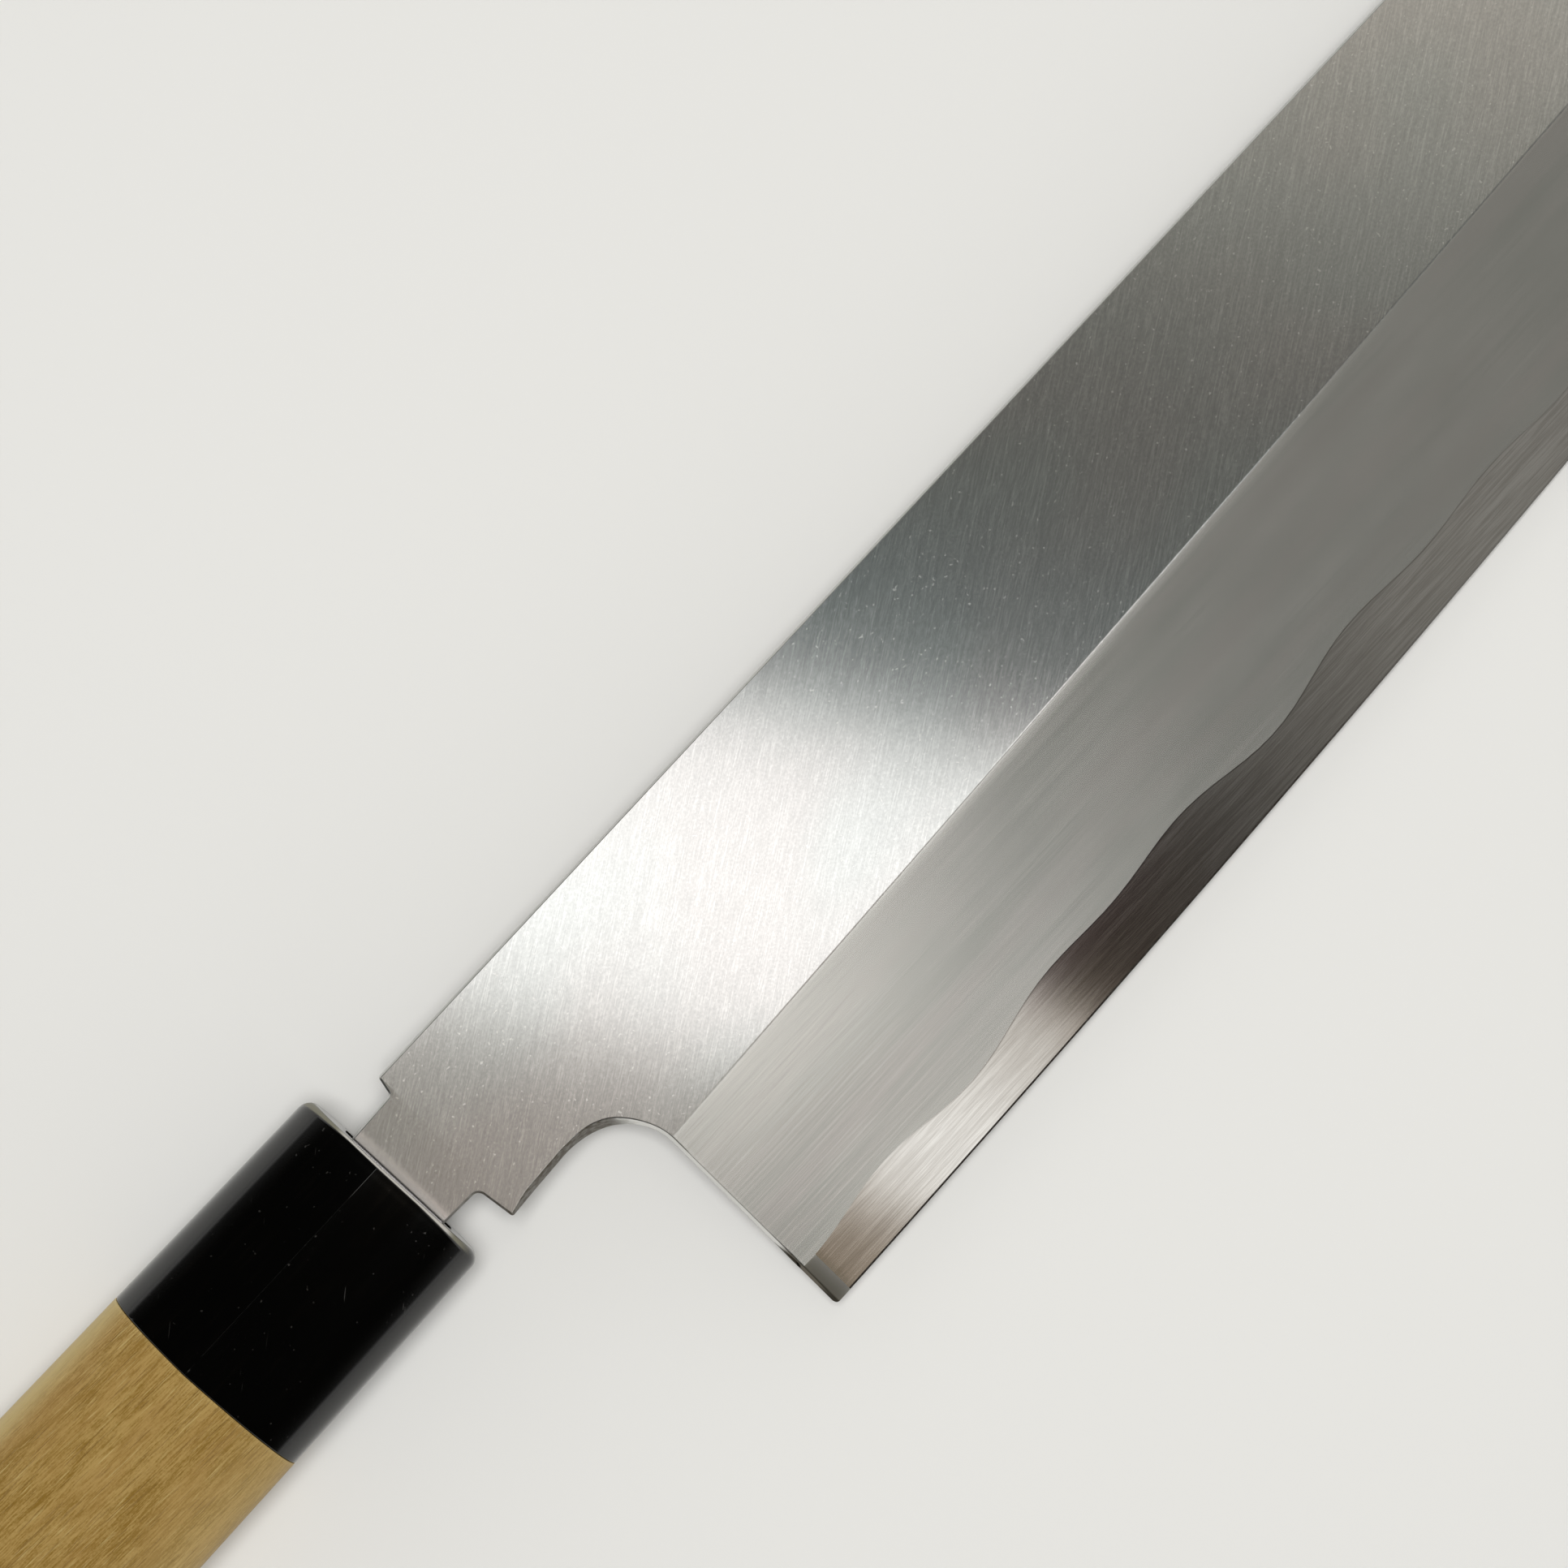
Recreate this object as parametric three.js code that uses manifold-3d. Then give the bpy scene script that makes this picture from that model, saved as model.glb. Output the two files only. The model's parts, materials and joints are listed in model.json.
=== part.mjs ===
// Honekiri knife: a long, thick, single-bevel kitchen knife for cutting through fine fish bones.
// Sizes are in millimetres. The knife is drawn along its own axes: x runs from the blade's shoulder
// to the tip, y points to the spine and z points out of the bevelled face. The handle's centre line
// is y = 0, z = 0. At the end the whole knife is laid on a table with its hollow back face down.

import * as THREE from 'three';
import { mergeVertices } from 'three/addons/utils/BufferGeometryUtils.js';
import Module from 'manifold-3d';

const wasm = await Module();
wasm.setup();

const { lerp, clamp, smoothstep } = THREE.MathUtils;

// Blade outline
const bladeLength = 300;
const bladeHeight = 53;
const spineHeight = 8.6;
const spineDrop = 2;
const spineDropPower = 4;
const tipHeight = 0.8;
const edgeTaper = 5;
const edgeBelly = 11.4;
const tipSweepPower = 9;

// Flat, bevel and thickness
const flatHeight = 27.5;
const flatTaper = 9.6;
const spineThickness = 4.8;
const distalTaper = 1.9;
const tipThinning = 1.4;
const tipThinningPower = 6;
const spineChamfer = 0.4;
const edgeLand = 0.15;

// Neck, shoulders and the rounded notch in front of the heel
const neckDepth = 20.7;
const shoulderSlant = 1.1;
const notchStart = 7.5;
const notchRise = 0.35;
const heelSetback = 16.4;
const heelLean = 1;

// Hard steel layer: how far it shows above the edge, its waves and its hollow back
const steelShow = 6.25;
const steelWaves = [
  { length: 78, swing: 0.65, shift: 20.3 },
  { length: 44, swing: 0.45, shift: -15.7 },
  { length: 25, swing: 0.56, shift: 0.9 },
  { length: 65, swing: 0.45, shift: -32.75 },
];
const steelStart = 2;
const steelRamp = 12;
const hollowDepth = 0.45;
const hollowRim = 0.06;
const hollowStart = 24;
const hollowRamp = 40;
const hollowEnd = 292;

// Tang
const tangTop = 6.4;
const tangWidth = 13.8;
const tangEndWidth = 7;
const tangEndThickness = 2.6;
const tangLength = 105;

// Grip: the ferrule and the wood share one section, which grows evenly from front to butt
const neckGap = 6.7;
const gripLength = 143;
const gripFrontWidth = 25.3;
const gripButtWidth = 29.6;
const gripFrontThickness = 17;
const gripButtThickness = 19.8;
const ridgeOffset = 2.2;
const ridgeRise = 0.4;
const ridgeFullness = 0.74;
const ferruleLength = 29.8;
const ferruleFrontWall = 8;
const ferruleWall = 3.6;
const rimRound = 1;
const buttRound = 1.6;
const slotSlack = 1;
const fitGap = 0.3;

// Where the belly of the edge touches the table, as a share of the edge from heel to tip
const restShare = 0.86;

// Places that follow from the sizes
const backFace = -spineThickness / 2;
const heelHeight = spineHeight - bladeHeight;
const ridgeHeight = spineHeight - flatHeight;
const neckHeight = spineHeight - neckDepth;
const notchTop = neckHeight + notchRise;
const tangBottom = tangTop - tangWidth;
const tipSpine = spineHeight - spineDrop;
const bevelWidth = bladeHeight - flatHeight;
const gripFront = -neckGap;
const gripButt = gripFront - gripLength;
const ferruleBack = gripFront - ferruleLength;
const socketBottom = gripFront - ferruleFrontWall;
const tangEnd = -tangLength;

// Mesh steps
const bladeSteps = 58;
const tipCrowding = 1.35;
const notchSteps = 7;
const tangSteps = 4;
const upperBevelRows = 3;
const steelRows = 2;
const sectionSteps = 12;
const roundSteps = 4;

// Blade lines. The share runs from 0 at the heel to 1 at the tip.
const spineLine = (x) => spineHeight - spineDrop * Math.max(0, x / bladeLength) ** spineDropPower;

function edgeLine(share) {
  const sweep = tipSpine - tipHeight - heelHeight - edgeTaper - edgeBelly;
  return heelHeight + edgeTaper * share + edgeBelly * share ** 2 + sweep * share ** tipSweepPower;
}

function ridgeLine(share) {
  const sweep = tipSpine - tipHeight / 2 - ridgeHeight - flatTaper;
  return ridgeHeight + flatTaper * share + sweep * share ** tipSweepPower;
}

function thicknessAt(x) {
  const share = Math.max(0, x / bladeLength);
  return spineThickness - distalTaper * share - tipThinning * share ** tipThinningPower;
}

// Share of the bevel, counted from the edge, on which the hard steel shows
function steelShare(x) {
  const wave = ({ length, swing, shift }) => swing * Math.sin((2 * Math.PI * (x + shift)) / length);
  return (steelShow + steelWaves.reduce((sum, each) => sum + wave(each), 0)) / bevelWidth;
}

// The back face is ground hollow between a narrow flat rim at the spine and one at the edge
function backAt(x, y) {
  const heelX = heelSetback - heelLean;
  const edge = edgeLine(clamp((x - heelX) / (bladeLength - heelX), 0, 1));
  const across = (spineLine(x) - y) / (spineLine(x) - edge);
  const arc = 1 - ((2 * across - 1) / (1 - 2 * hollowRim)) ** 2;
  const starting = smoothstep(x, hollowStart, hollowStart + hollowRamp);
  const ending = 1 - smoothstep(x, hollowEnd - hollowRamp, hollowEnd);
  return backFace + hollowDepth * Math.max(0, arc) * starting * ending;
}

// Rows of the flat, as shares from the spine down to the ridge or the notch. Two rows carry the tang.
const shareBelowSpine = (y) => (spineHeight - y) / neckDepth;
const topShare = shareBelowSpine(tangTop);
const bottomShare = shareBelowSpine(tangBottom);
const flatRows = [
  0,
  spineChamfer / neckDepth,
  topShare,
  lerp(topShare, bottomShare, 1 / 3),
  lerp(topShare, bottomShare, 2 / 3),
  bottomShare,
  1,
];
const tangFirstRow = 2;
const tangLastRow = 5;
const ridgeRow = flatRows.length - 1;
const steelRow = ridgeRow + upperBevelRows;
const edgeRow = steelRow + steelRows;

// A station is one line of points across the blade. Each point holds three heights: the front face,
// the weld seam between iron and steel, and the back face.
function flatStation(spineX, lower, seamShare) {
  const upper = new THREE.Vector2(spineX, spineLine(spineX));
  const rise = smoothstep(lower.x, steelStart, steelStart + steelRamp);
  return flatRows.map((share, row) => {
    const { x, y } = new THREE.Vector2().lerpVectors(upper, lower, share);
    const thickness = thicknessAt(x);
    const front = backFace + thickness - (row === 0 ? spineChamfer : 0);
    const seam = backFace + rise * lerp(edgeLand, thickness, seamShare);
    return { x, y, front, seam, back: backAt(x, y) };
  });
}

function bladeStation(share, spineX) {
  const edge = new THREE.Vector2(lerp(heelSetback - heelLean, bladeLength, share), edgeLine(share));
  const ridge = new THREE.Vector2(lerp(heelSetback, bladeLength, share), ridgeLine(share));
  const steel = steelShare(edge.x);
  const station = flatStation(spineX, ridge, steel);
  for (let row = ridgeRow + 1; row <= edgeRow; row += 1) {
    const onIron = Math.min(1, (row - ridgeRow) / upperBevelRows);
    const onSteel = Math.max(0, (row - steelRow) / steelRows);
    const down = lerp(onIron * (1 - steel), 1, onSteel);
    const { x, y } = new THREE.Vector2().lerpVectors(ridge, edge, down);
    const front = backFace + lerp(thicknessAt(ridge.x), edgeLand, down);
    const seam = row < steelRow ? station[ridgeRow].seam : front;
    station.push({ x, y, front, seam, back: row === edgeRow ? backFace : backAt(x, y) });
  }
  return station;
}

// Tang stations hold only the middle rows, so the shoulders stand where the outer rows stop
function tangStation(share) {
  const x = lerp(gripFront, tangEnd, share);
  const taper = (x + shoulderSlant) / (tangEnd + shoulderSlant);
  const width = lerp(tangWidth, tangEndWidth, taper);
  const middle = (tangTop + tangBottom) / 2;
  const half = lerp(spineThickness, tangEndThickness, taper) / 2;
  return flatRows.map((rowShare, row) => {
    if (row < tangFirstRow || row > tangLastRow) return null;
    const y = middle + width * (0.5 - (rowShare - topShare) / (bottomShare - topShare));
    return { x, y, front: half, seam: -half, back: -half };
  });
}

// The stations run from the end of the tang over the neck and round the notch to the tip. The hard
// steel runs out to nothing at the first neck station past the shoulders.
const stations = [];
for (let step = tangSteps; step >= 0; step -= 1) stations.push(tangStation(step / tangSteps));
const firstSteel = stations.length + 1;
for (const x of [-shoulderSlant, steelStart, lerp(steelStart, notchStart, 0.5), notchStart]) {
  const along = (x + shoulderSlant) / (notchStart + shoulderSlant);
  const lower = new THREE.Vector2(x, lerp(neckHeight, notchTop, along));
  stations.push(flatStation(lerp(0, notchStart, along), lower, steelShare(heelSetback)));
}
const notchReach = heelSetback - notchStart;
const heelSpineX = heelSetback + notchReach / 2;
for (let step = 1; step < notchSteps; step += 1) {
  const turn = (Math.PI / 2) * (step / notchSteps);
  const lower = new THREE.Vector2(notchStart + notchReach * Math.sin(turn), 0);
  lower.y = lerp(ridgeHeight, notchTop, Math.cos(turn));
  const spineX = lerp(notchStart, heelSpineX, step / notchSteps);
  stations.push(flatStation(spineX, lower, steelShare(heelSetback)));
}
for (let step = 0; step <= bladeSteps; step += 1) {
  const share = 1 - (1 - step / bladeSteps) ** tipCrowding;
  stations.push(bladeStation(share, lerp(heelSpineX, bladeLength, share)));
}

// Closed body between two heights of the stations, over the rows asked for. A cell exists where all
// its four corners do, and a wall closes each side that has no cell beyond it.
function layer(columns, lastRow, topName, bottomName) {
  const triangles = [];
  const corner = (i, j, name) => {
    const { x, y, [name]: z } = columns[i][j];
    return [x, y, z];
  };
  const exists = (i, j) => j <= lastRow && Boolean(columns[i]?.[j]);
  const cell = (i, j) => exists(i, j) && exists(i + 1, j) && exists(i, j + 1) && exists(i + 1, j + 1);
  const quad = (a, b, c, d) => triangles.push([a, b, c], [a, c, d]);
  const wall = (from, to) => {
    const [upperFrom, upperTo] = [corner(...from, topName), corner(...to, topName)];
    quad(corner(...from, bottomName), corner(...to, bottomName), upperTo, upperFrom);
  };
  for (let i = 0; i < columns.length - 1; i += 1) {
    for (let j = 0; j < lastRow; j += 1) {
      if (!cell(i, j)) continue;
      const around = [[i, j], [i, j + 1], [i + 1, j + 1], [i + 1, j]];
      const [a, b, c, d] = around.map((at) => corner(...at, topName));
      const [e, f, g, h] = around.map((at) => corner(...at, bottomName));
      triangles.push([a, b, c], [a, c, d], [e, g, f], [e, h, g]);
      if (!cell(i - 1, j)) wall([i, j], [i, j + 1]);
      if (!cell(i, j + 1)) wall([i, j + 1], [i + 1, j + 1]);
      if (!cell(i + 1, j)) wall([i + 1, j + 1], [i + 1, j]);
      if (!cell(i, j - 1)) wall([i + 1, j], [i, j]);
    }
  }
  return weld(triangles);
}

// Shares the corners of a list of triangles and drops those that closed up to a line
function weld(triangles) {
  const raw = new THREE.BufferGeometry();
  raw.setAttribute('position', new THREE.Float32BufferAttribute(triangles.flat(2), 3));
  const merged = mergeVertices(raw, 1e-4);
  const faces = [];
  for (let k = 0; k < merged.index.count; k += 3) {
    const [a, b, c] = merged.index.array.slice(k, k + 3);
    if (a !== b && b !== c && c !== a) faces.push(a, b, c);
  }
  merged.setIndex(faces);
  return merged;
}

// Closed skin through a row of rings, each a list of points with the same count
function loft(rings) {
  const triangles = [];
  const count = rings[0].length;
  for (let k = 0; k < rings.length - 1; k += 1) {
    for (let n = 0; n < count; n += 1) {
      const next = (n + 1) % count;
      const [a, b, c, d] = [rings[k][n], rings[k][next], rings[k + 1][next], rings[k + 1][n]];
      triangles.push([a, b, c], [a, c, d]);
    }
  }
  const middle = (ring) => ring[0].map((_, axis) => ring.reduce((sum, p) => sum + p[axis], 0) / count);
  const [first, last] = [rings[0], rings[rings.length - 1]];
  for (let n = 0; n < count; n += 1) {
    const next = (n + 1) % count;
    triangles.push([middle(first), first[next], first[n]], [middle(last), last[n], last[next]]);
  }
  return weld(triangles);
}

// D-shaped section of the grip at x, drawn in by an inset: half an ellipse below, and above it two
// low facets that meet in a ridge on the spine side of the middle
function gripRing(x, inset = 0) {
  const share = (gripFront - x) / gripLength;
  const halfWidth = lerp(gripFrontWidth, gripButtWidth, share) / 2 - inset;
  const halfThickness = lerp(gripFrontThickness, gripButtThickness, share) / 2 - inset;
  const crest = halfThickness + ridgeRise;
  const section = new THREE.Path();
  section.moveTo(halfWidth, 0);
  section.quadraticCurveTo(halfWidth, crest * ridgeFullness, ridgeOffset, crest);
  section.quadraticCurveTo(-halfWidth, crest * ridgeFullness, -halfWidth, 0);
  section.absellipse(0, 0, halfWidth, halfThickness, Math.PI, 2 * Math.PI);
  const points = section.getPoints(sectionSteps).slice(0, -1);
  return points.map(({ x: across, y: up }) => [x, across, up]).reverse();
}

// Rings of a rounded rim, from the end face to where the full section begins. The way is -1 towards
// the butt and 1 towards the tip.
function rimRings(endX, radius, way) {
  const rings = [];
  for (let step = 0; step <= roundSteps; step += 1) {
    const turn = (Math.PI / 2) * (step / roundSteps);
    const inward = radius * (1 - Math.cos(turn));
    rings.push(gripRing(endX + way * inward, radius * (1 - Math.sin(turn))));
  }
  return rings;
}

// Rectangular ring round the tang at x, wider by an end gap along y and a face gap along z
function tangRing(x, endGap, faceGap) {
  const taper = (x + shoulderSlant) / (tangEnd + shoulderSlant);
  const halfWidth = lerp(tangWidth, tangEndWidth, taper) / 2 + endGap;
  const halfThickness = lerp(spineThickness, tangEndThickness, taper) / 2 + faceGap;
  const middle = (tangTop + tangBottom) / 2;
  const corners = [[1, 1], [1, -1], [-1, -1], [-1, 1]];
  return corners.map(([across, up]) => [x, middle + across * halfWidth, up * halfThickness]);
}

function toSolid(geometry) {
  const vertProperties = new Float32Array(geometry.attributes.position.array);
  const triVerts = new Uint32Array(geometry.index.array);
  return new wasm.Manifold(new wasm.Mesh({ numProp: 3, vertProperties, triVerts }));
}

function toGeometry(solid) {
  const { vertProperties, triVerts } = solid.getMesh();
  const geometry = new THREE.BufferGeometry();
  geometry.setAttribute('position', new THREE.Float32BufferAttribute(vertProperties, 3));
  geometry.setIndex(new THREE.Uint32BufferAttribute(triVerts, 1));
  return geometry;
}

// Ferrule: a cup with a rounded front rim, a socket for the tenon and a slot longer than the tang
function ferruleGeometry() {
  const cup = toSolid(loft([...rimRings(gripFront, rimRound, -1), gripRing(ferruleBack)]));
  const pastBack = ferruleBack - fitGap;
  const socket = loft([gripRing(socketBottom, ferruleWall), gripRing(pastBack, ferruleWall)]);
  const pastFront = gripFront + fitGap;
  const pastSocket = socketBottom - fitGap;
  const slot = loft([tangRing(pastFront, slotSlack, fitGap), tangRing(pastSocket, slotSlack, fitGap)]);
  return toGeometry(cup.subtract(toSolid(socket)).subtract(toSolid(slot)));
}

// Handle: the wooden grip with a rounded butt, a tenon for the ferrule and a hole for the tang
function handleGeometry() {
  const gripStart = ferruleBack - fitGap;
  const tenonFront = socketBottom - fitGap;
  const inset = ferruleWall + fitGap;
  const body = loft([gripRing(gripStart), ...rimRings(gripButt, buttRound, 1).reverse()]);
  const tenon = loft([gripRing(tenonFront, inset), gripRing(gripStart - rimRound, inset)]);
  const holeFront = tangRing(tenonFront + fitGap, fitGap, fitGap);
  const hole = loft([holeFront, tangRing(tangEnd - fitGap, fitGap, fitGap)]);
  return toGeometry(toSolid(body).add(toSolid(tenon)).subtract(toSolid(hole)));
}

function piece(name, geometry, color, roughness, metalness) {
  const material = new THREE.MeshStandardMaterial({ color, roughness, metalness });
  const mesh = new THREE.Mesh(geometry, material);
  mesh.name = name;
  return mesh;
}

const ironGeometry = layer(stations, steelRow, 'front', 'seam');
const steelGeometry = layer(stations.slice(firstSteel), edgeRow, 'seam', 'back');

const knife = new THREE.Group();
knife.add(piece('blade_iron', ironGeometry, 0xb9bbbd, 0.38, 1));
knife.add(piece('blade_steel', steelGeometry, 0x9c9fa2, 0.22, 1));
knife.add(piece('ferrule', ferruleGeometry(), 0x161412, 0.3, 0));
knife.add(piece('handle', handleGeometry(), 0xb89a66, 0.62, 0));

// The knife rests on the lower front of its ferrule and on the belly of its edge. The table touches
// the edge along its tangent there, which gives the table's upward direction in the knife's axes.
const edgePoint = (share) => new THREE.Vector3(
  lerp(heelSetback - heelLean, bladeLength, share), edgeLine(share), backFace,
);
const belly = edgePoint(restShare);
const alongEdge = edgePoint(restShare + 0.001).sub(belly);
const underFerrule = new THREE.Vector3(gripFront - rimRound, 0, -gripFrontThickness / 2).sub(belly);
const tableUp = new THREE.Vector3().crossVectors(alongEdge, underFerrule).normalize();
knife.quaternion.setFromUnitVectors(tableUp, new THREE.Vector3(0, 0, 1));

// Origin on the table, under the middle of the lying knife
const lying = new THREE.Group();
lying.add(knife);
const bounds = new THREE.Box3().setFromObject(lying, true);
const middle = bounds.getCenter(new THREE.Vector3());
lying.position.set(-middle.x, -middle.y, -bounds.min.z);

export default lying;
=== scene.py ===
"""Honekiri knife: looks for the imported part, laid out as an add-on.

The knife is drawn along its own axes, in metres: x runs from the shoulder at the neck to the tip, y
points to the spine and z points out of the bevelled face. The middle of the grip is y = 0, z = 0.
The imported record's mounts give the place of these axes on the table.
"""

import json
import math

import bmesh
import bpy
import numpy as np
from bpy.props import FloatProperty, FloatVectorProperty, PointerProperty
from mathutils import Matrix, Vector


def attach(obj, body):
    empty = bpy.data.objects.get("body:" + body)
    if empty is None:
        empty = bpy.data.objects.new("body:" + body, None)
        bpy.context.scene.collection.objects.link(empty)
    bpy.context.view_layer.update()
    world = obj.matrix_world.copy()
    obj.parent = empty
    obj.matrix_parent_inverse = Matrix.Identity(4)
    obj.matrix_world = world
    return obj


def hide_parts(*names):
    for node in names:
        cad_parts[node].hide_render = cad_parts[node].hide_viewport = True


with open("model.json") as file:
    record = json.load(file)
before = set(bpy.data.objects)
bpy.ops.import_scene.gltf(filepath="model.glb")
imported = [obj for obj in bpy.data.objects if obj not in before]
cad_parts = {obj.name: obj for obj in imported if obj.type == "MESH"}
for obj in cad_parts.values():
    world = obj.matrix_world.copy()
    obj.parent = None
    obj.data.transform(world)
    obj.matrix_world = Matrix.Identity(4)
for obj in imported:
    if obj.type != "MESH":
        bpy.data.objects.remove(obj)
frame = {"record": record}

bl_info = {
    "name": "Honekiri knife",
    "version": (1, 0, 0),
    "blender": (4, 5, 0),
    "location": "3D View > Sidebar > Honekiri",
    "description": "Builds a honekiri knife over its packed CAD part, with a studio floor",
    "category": "Object",
}

MM = 0.001


# Kinds of property


def length(name, millimetres, description):
    """A length, written here in millimetres and kept in metres."""
    metres = millimetres * MM
    return FloatProperty(name=name, description=description, default=metres, unit="LENGTH")


def share(name, value, description, **kind):
    """A plain number, or another kind of number."""
    return FloatProperty(name=name, description=description, default=value, **kind)


def triple(name, values, description, **kind):
    """Three numbers of one kind."""
    return FloatVectorProperty(name=name, description=description, default=values, **kind)


def colour(name, red, green, blue, description):
    """A linear colour with full alpha."""
    kind = {"size": 4, "subtype": "COLOR", "min": 0, "max": 1}
    return FloatVectorProperty(
        name=name, description=description, default=(red, green, blue, 1.0), **kind
    )


class HonekiriBladeSizes(bpy.types.PropertyGroup):
    """Sizes of the blade, its neck and its tang."""

    blade_length: length("Blade length", 300, "From the shoulder at the spine to the tip")
    blade_height: length("Blade height", 53, "From the spine to the heel")
    spine_height: length("Spine height", 8.6, "Spine above the middle of the grip")
    spine_drop: length("Spine drop", 2, "How far the spine falls towards the tip")
    tip_height: length("Tip height", 0.8, "Height of the blunt end at the tip")
    edge_taper: length("Edge taper", 5, "Even rise of the edge from heel to tip")
    edge_belly: length("Edge belly", 11.4, "Further rise of the edge that grows along the blade")
    flat_height: length("Flat height", 27.5, "From the spine to the ridge at the heel")
    flat_taper: length("Flat taper", 9.6, "Rise of the ridge from heel to tip")
    spine_thickness: length("Spine thickness", 4.8, "Thickness at the shoulder")
    distal_taper: length("Distal taper", 1.9, "Even loss of thickness towards the tip")
    tip_thinning: length("Tip thinning", 1.4, "Further loss of thickness at the tip")
    edge_land: length("Edge land", 0.15, "Thickness at the edge before the fine bevel")
    fine_bevel: length("Fine bevel", 0.22, "Width of the fine bevel along the edge")
    fine_bevel_drop: length("Fine bevel drop", 0.09, "Drop of the fine bevel")
    neck_depth: length("Neck depth", 20.7, "From the spine to the lower corner of the neck")
    shoulder_slant: length("Shoulder slant", 1.1, "How far the lower shoulder stands back")
    shoulder_step: length("Shoulder step", 0.35, "Lean of each shoulder over its height")
    notch_start: length("Notch start", 7.5, "Where the rounded notch begins")
    notch_rise: length("Notch rise", 0.35, "Rise of the neck's lower side up to the notch")
    heel_setback: length("Heel setback", 16.4, "Where the heel line meets the ridge")
    heel_lean: length("Heel lean", 1, "Lean of the heel line from ridge to heel")
    heel_round: length("Heel round", 0.6, "Radius of the heel's corner")
    notch_slope: length("Notch slope", 1.05, "Width of the slope ground along the notch")
    notch_slope_depth: length("Notch slope depth", 3.1, "Depth of the slope along the notch")
    corner_round: length("Corner round", 0.25, "Width of the rounding on spine, neck and heel")
    heel_slope: length("Heel slope", 0.45, "Width of the small slope along the heel")
    heel_slope_depth: length("Heel slope depth", 0.8, "Depth of the small slope along the heel")
    heel_facet: length("Heel facet", 1.9, "Width of the dull facet on the hard steel at the heel")
    heel_facet_drop: length("Heel facet drop", 0.09, "Drop of that facet")
    ridge_round: length("Ridge round", 0.3, "Half width of the rounding on the ridge")
    steel_show: length("Steel show", 6.25, "Mean height of the hard steel above the edge")
    steel_start: length("Steel start", 2, "Where the hard steel begins")
    steel_ramp: length("Steel ramp", 12, "How far the hard steel takes to reach its full thickness")
    hollow_depth: length("Hollow depth", 0.45, "Depth of the hollow back")
    hollow_start: length("Hollow start", 24, "Where the hollow begins")
    hollow_ramp: length("Hollow ramp", 40, "How far the hollow takes to reach its full depth")
    hollow_end: length("Hollow end", 292, "Where the hollow ends")
    tang_top: length("Tang top", 6.4, "Upper side of the tang at the shoulder")
    tang_width: length("Tang width", 13.8, "Width of the tang at the shoulder")
    tang_end_width: length("Tang end width", 7, "Width of the tang's end")
    tang_end_thickness: length("Tang end thickness", 2.6, "Thickness of the tang's end")
    tang_length: length("Tang length", 105, "From the shoulder to the tang's end")
    tang_flush: length("Tang flush", 9, "From the shoulder to where the tang begins to thin")


class HonekiriGripSizes(bpy.types.PropertyGroup):
    """Sizes of the ferrule and the handle, which share one section."""

    neck_gap: length("Neck gap", 6.7, "From the shoulder to the ferrule's front")
    grip_length: length("Grip length", 143, "Ferrule and wood together")
    front_width: length("Front width", 25.3, "Width of the section at the front")
    butt_width: length("Butt width", 29.6, "Width of the section at the butt")
    front_thickness: length("Front thickness", 17, "Thickness of the section at the front")
    butt_thickness: length("Butt thickness", 19.8, "Thickness of the section at the butt")
    ridge_offset: length("Ridge offset", 2.2, "Ridge of the D section, towards the spine")
    ridge_rise: length("Ridge rise", 0.4, "How far the ridge stands above half the thickness")
    ridge_fullness: share("Ridge fullness", 0.74, "How far up the sides bulge, over the crest")
    ferrule_length: length("Ferrule length", 29.8, "Length of the horn ferrule")
    ferrule_front_wall: length("Ferrule front wall", 8, "Horn between the front and the socket")
    ferrule_wall: length("Ferrule wall", 3.6, "Horn round the socket")
    rim_round: length("Rim round", 0.35, "Rounding of the ferrule's front rim on top")
    rim_side_round: length("Rim side round", 1.6, "Rounding of that rim at the sides")
    front_lean: share("Front lean", 0.05, "How far the ferrule's front leans out, over its height")
    butt_round: length("Butt round", 1.6, "Rounding of the butt")
    joint_round: length("Joint round", 0.12, "Rounding on both sides of the joint behind the horn")
    joint_gap: length("Joint gap", 0.06, "Gap between horn and wood")
    slot_slack: length("Slot slack", 1, "Slot beyond each side of the tang")
    slot_mouth: length("Slot mouth", 1, "Gap over the tang's faces at the mouth of the slot")
    fit_gap: length("Fit gap", 0.3, "Gap round the tang's faces and the tenon")


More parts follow.
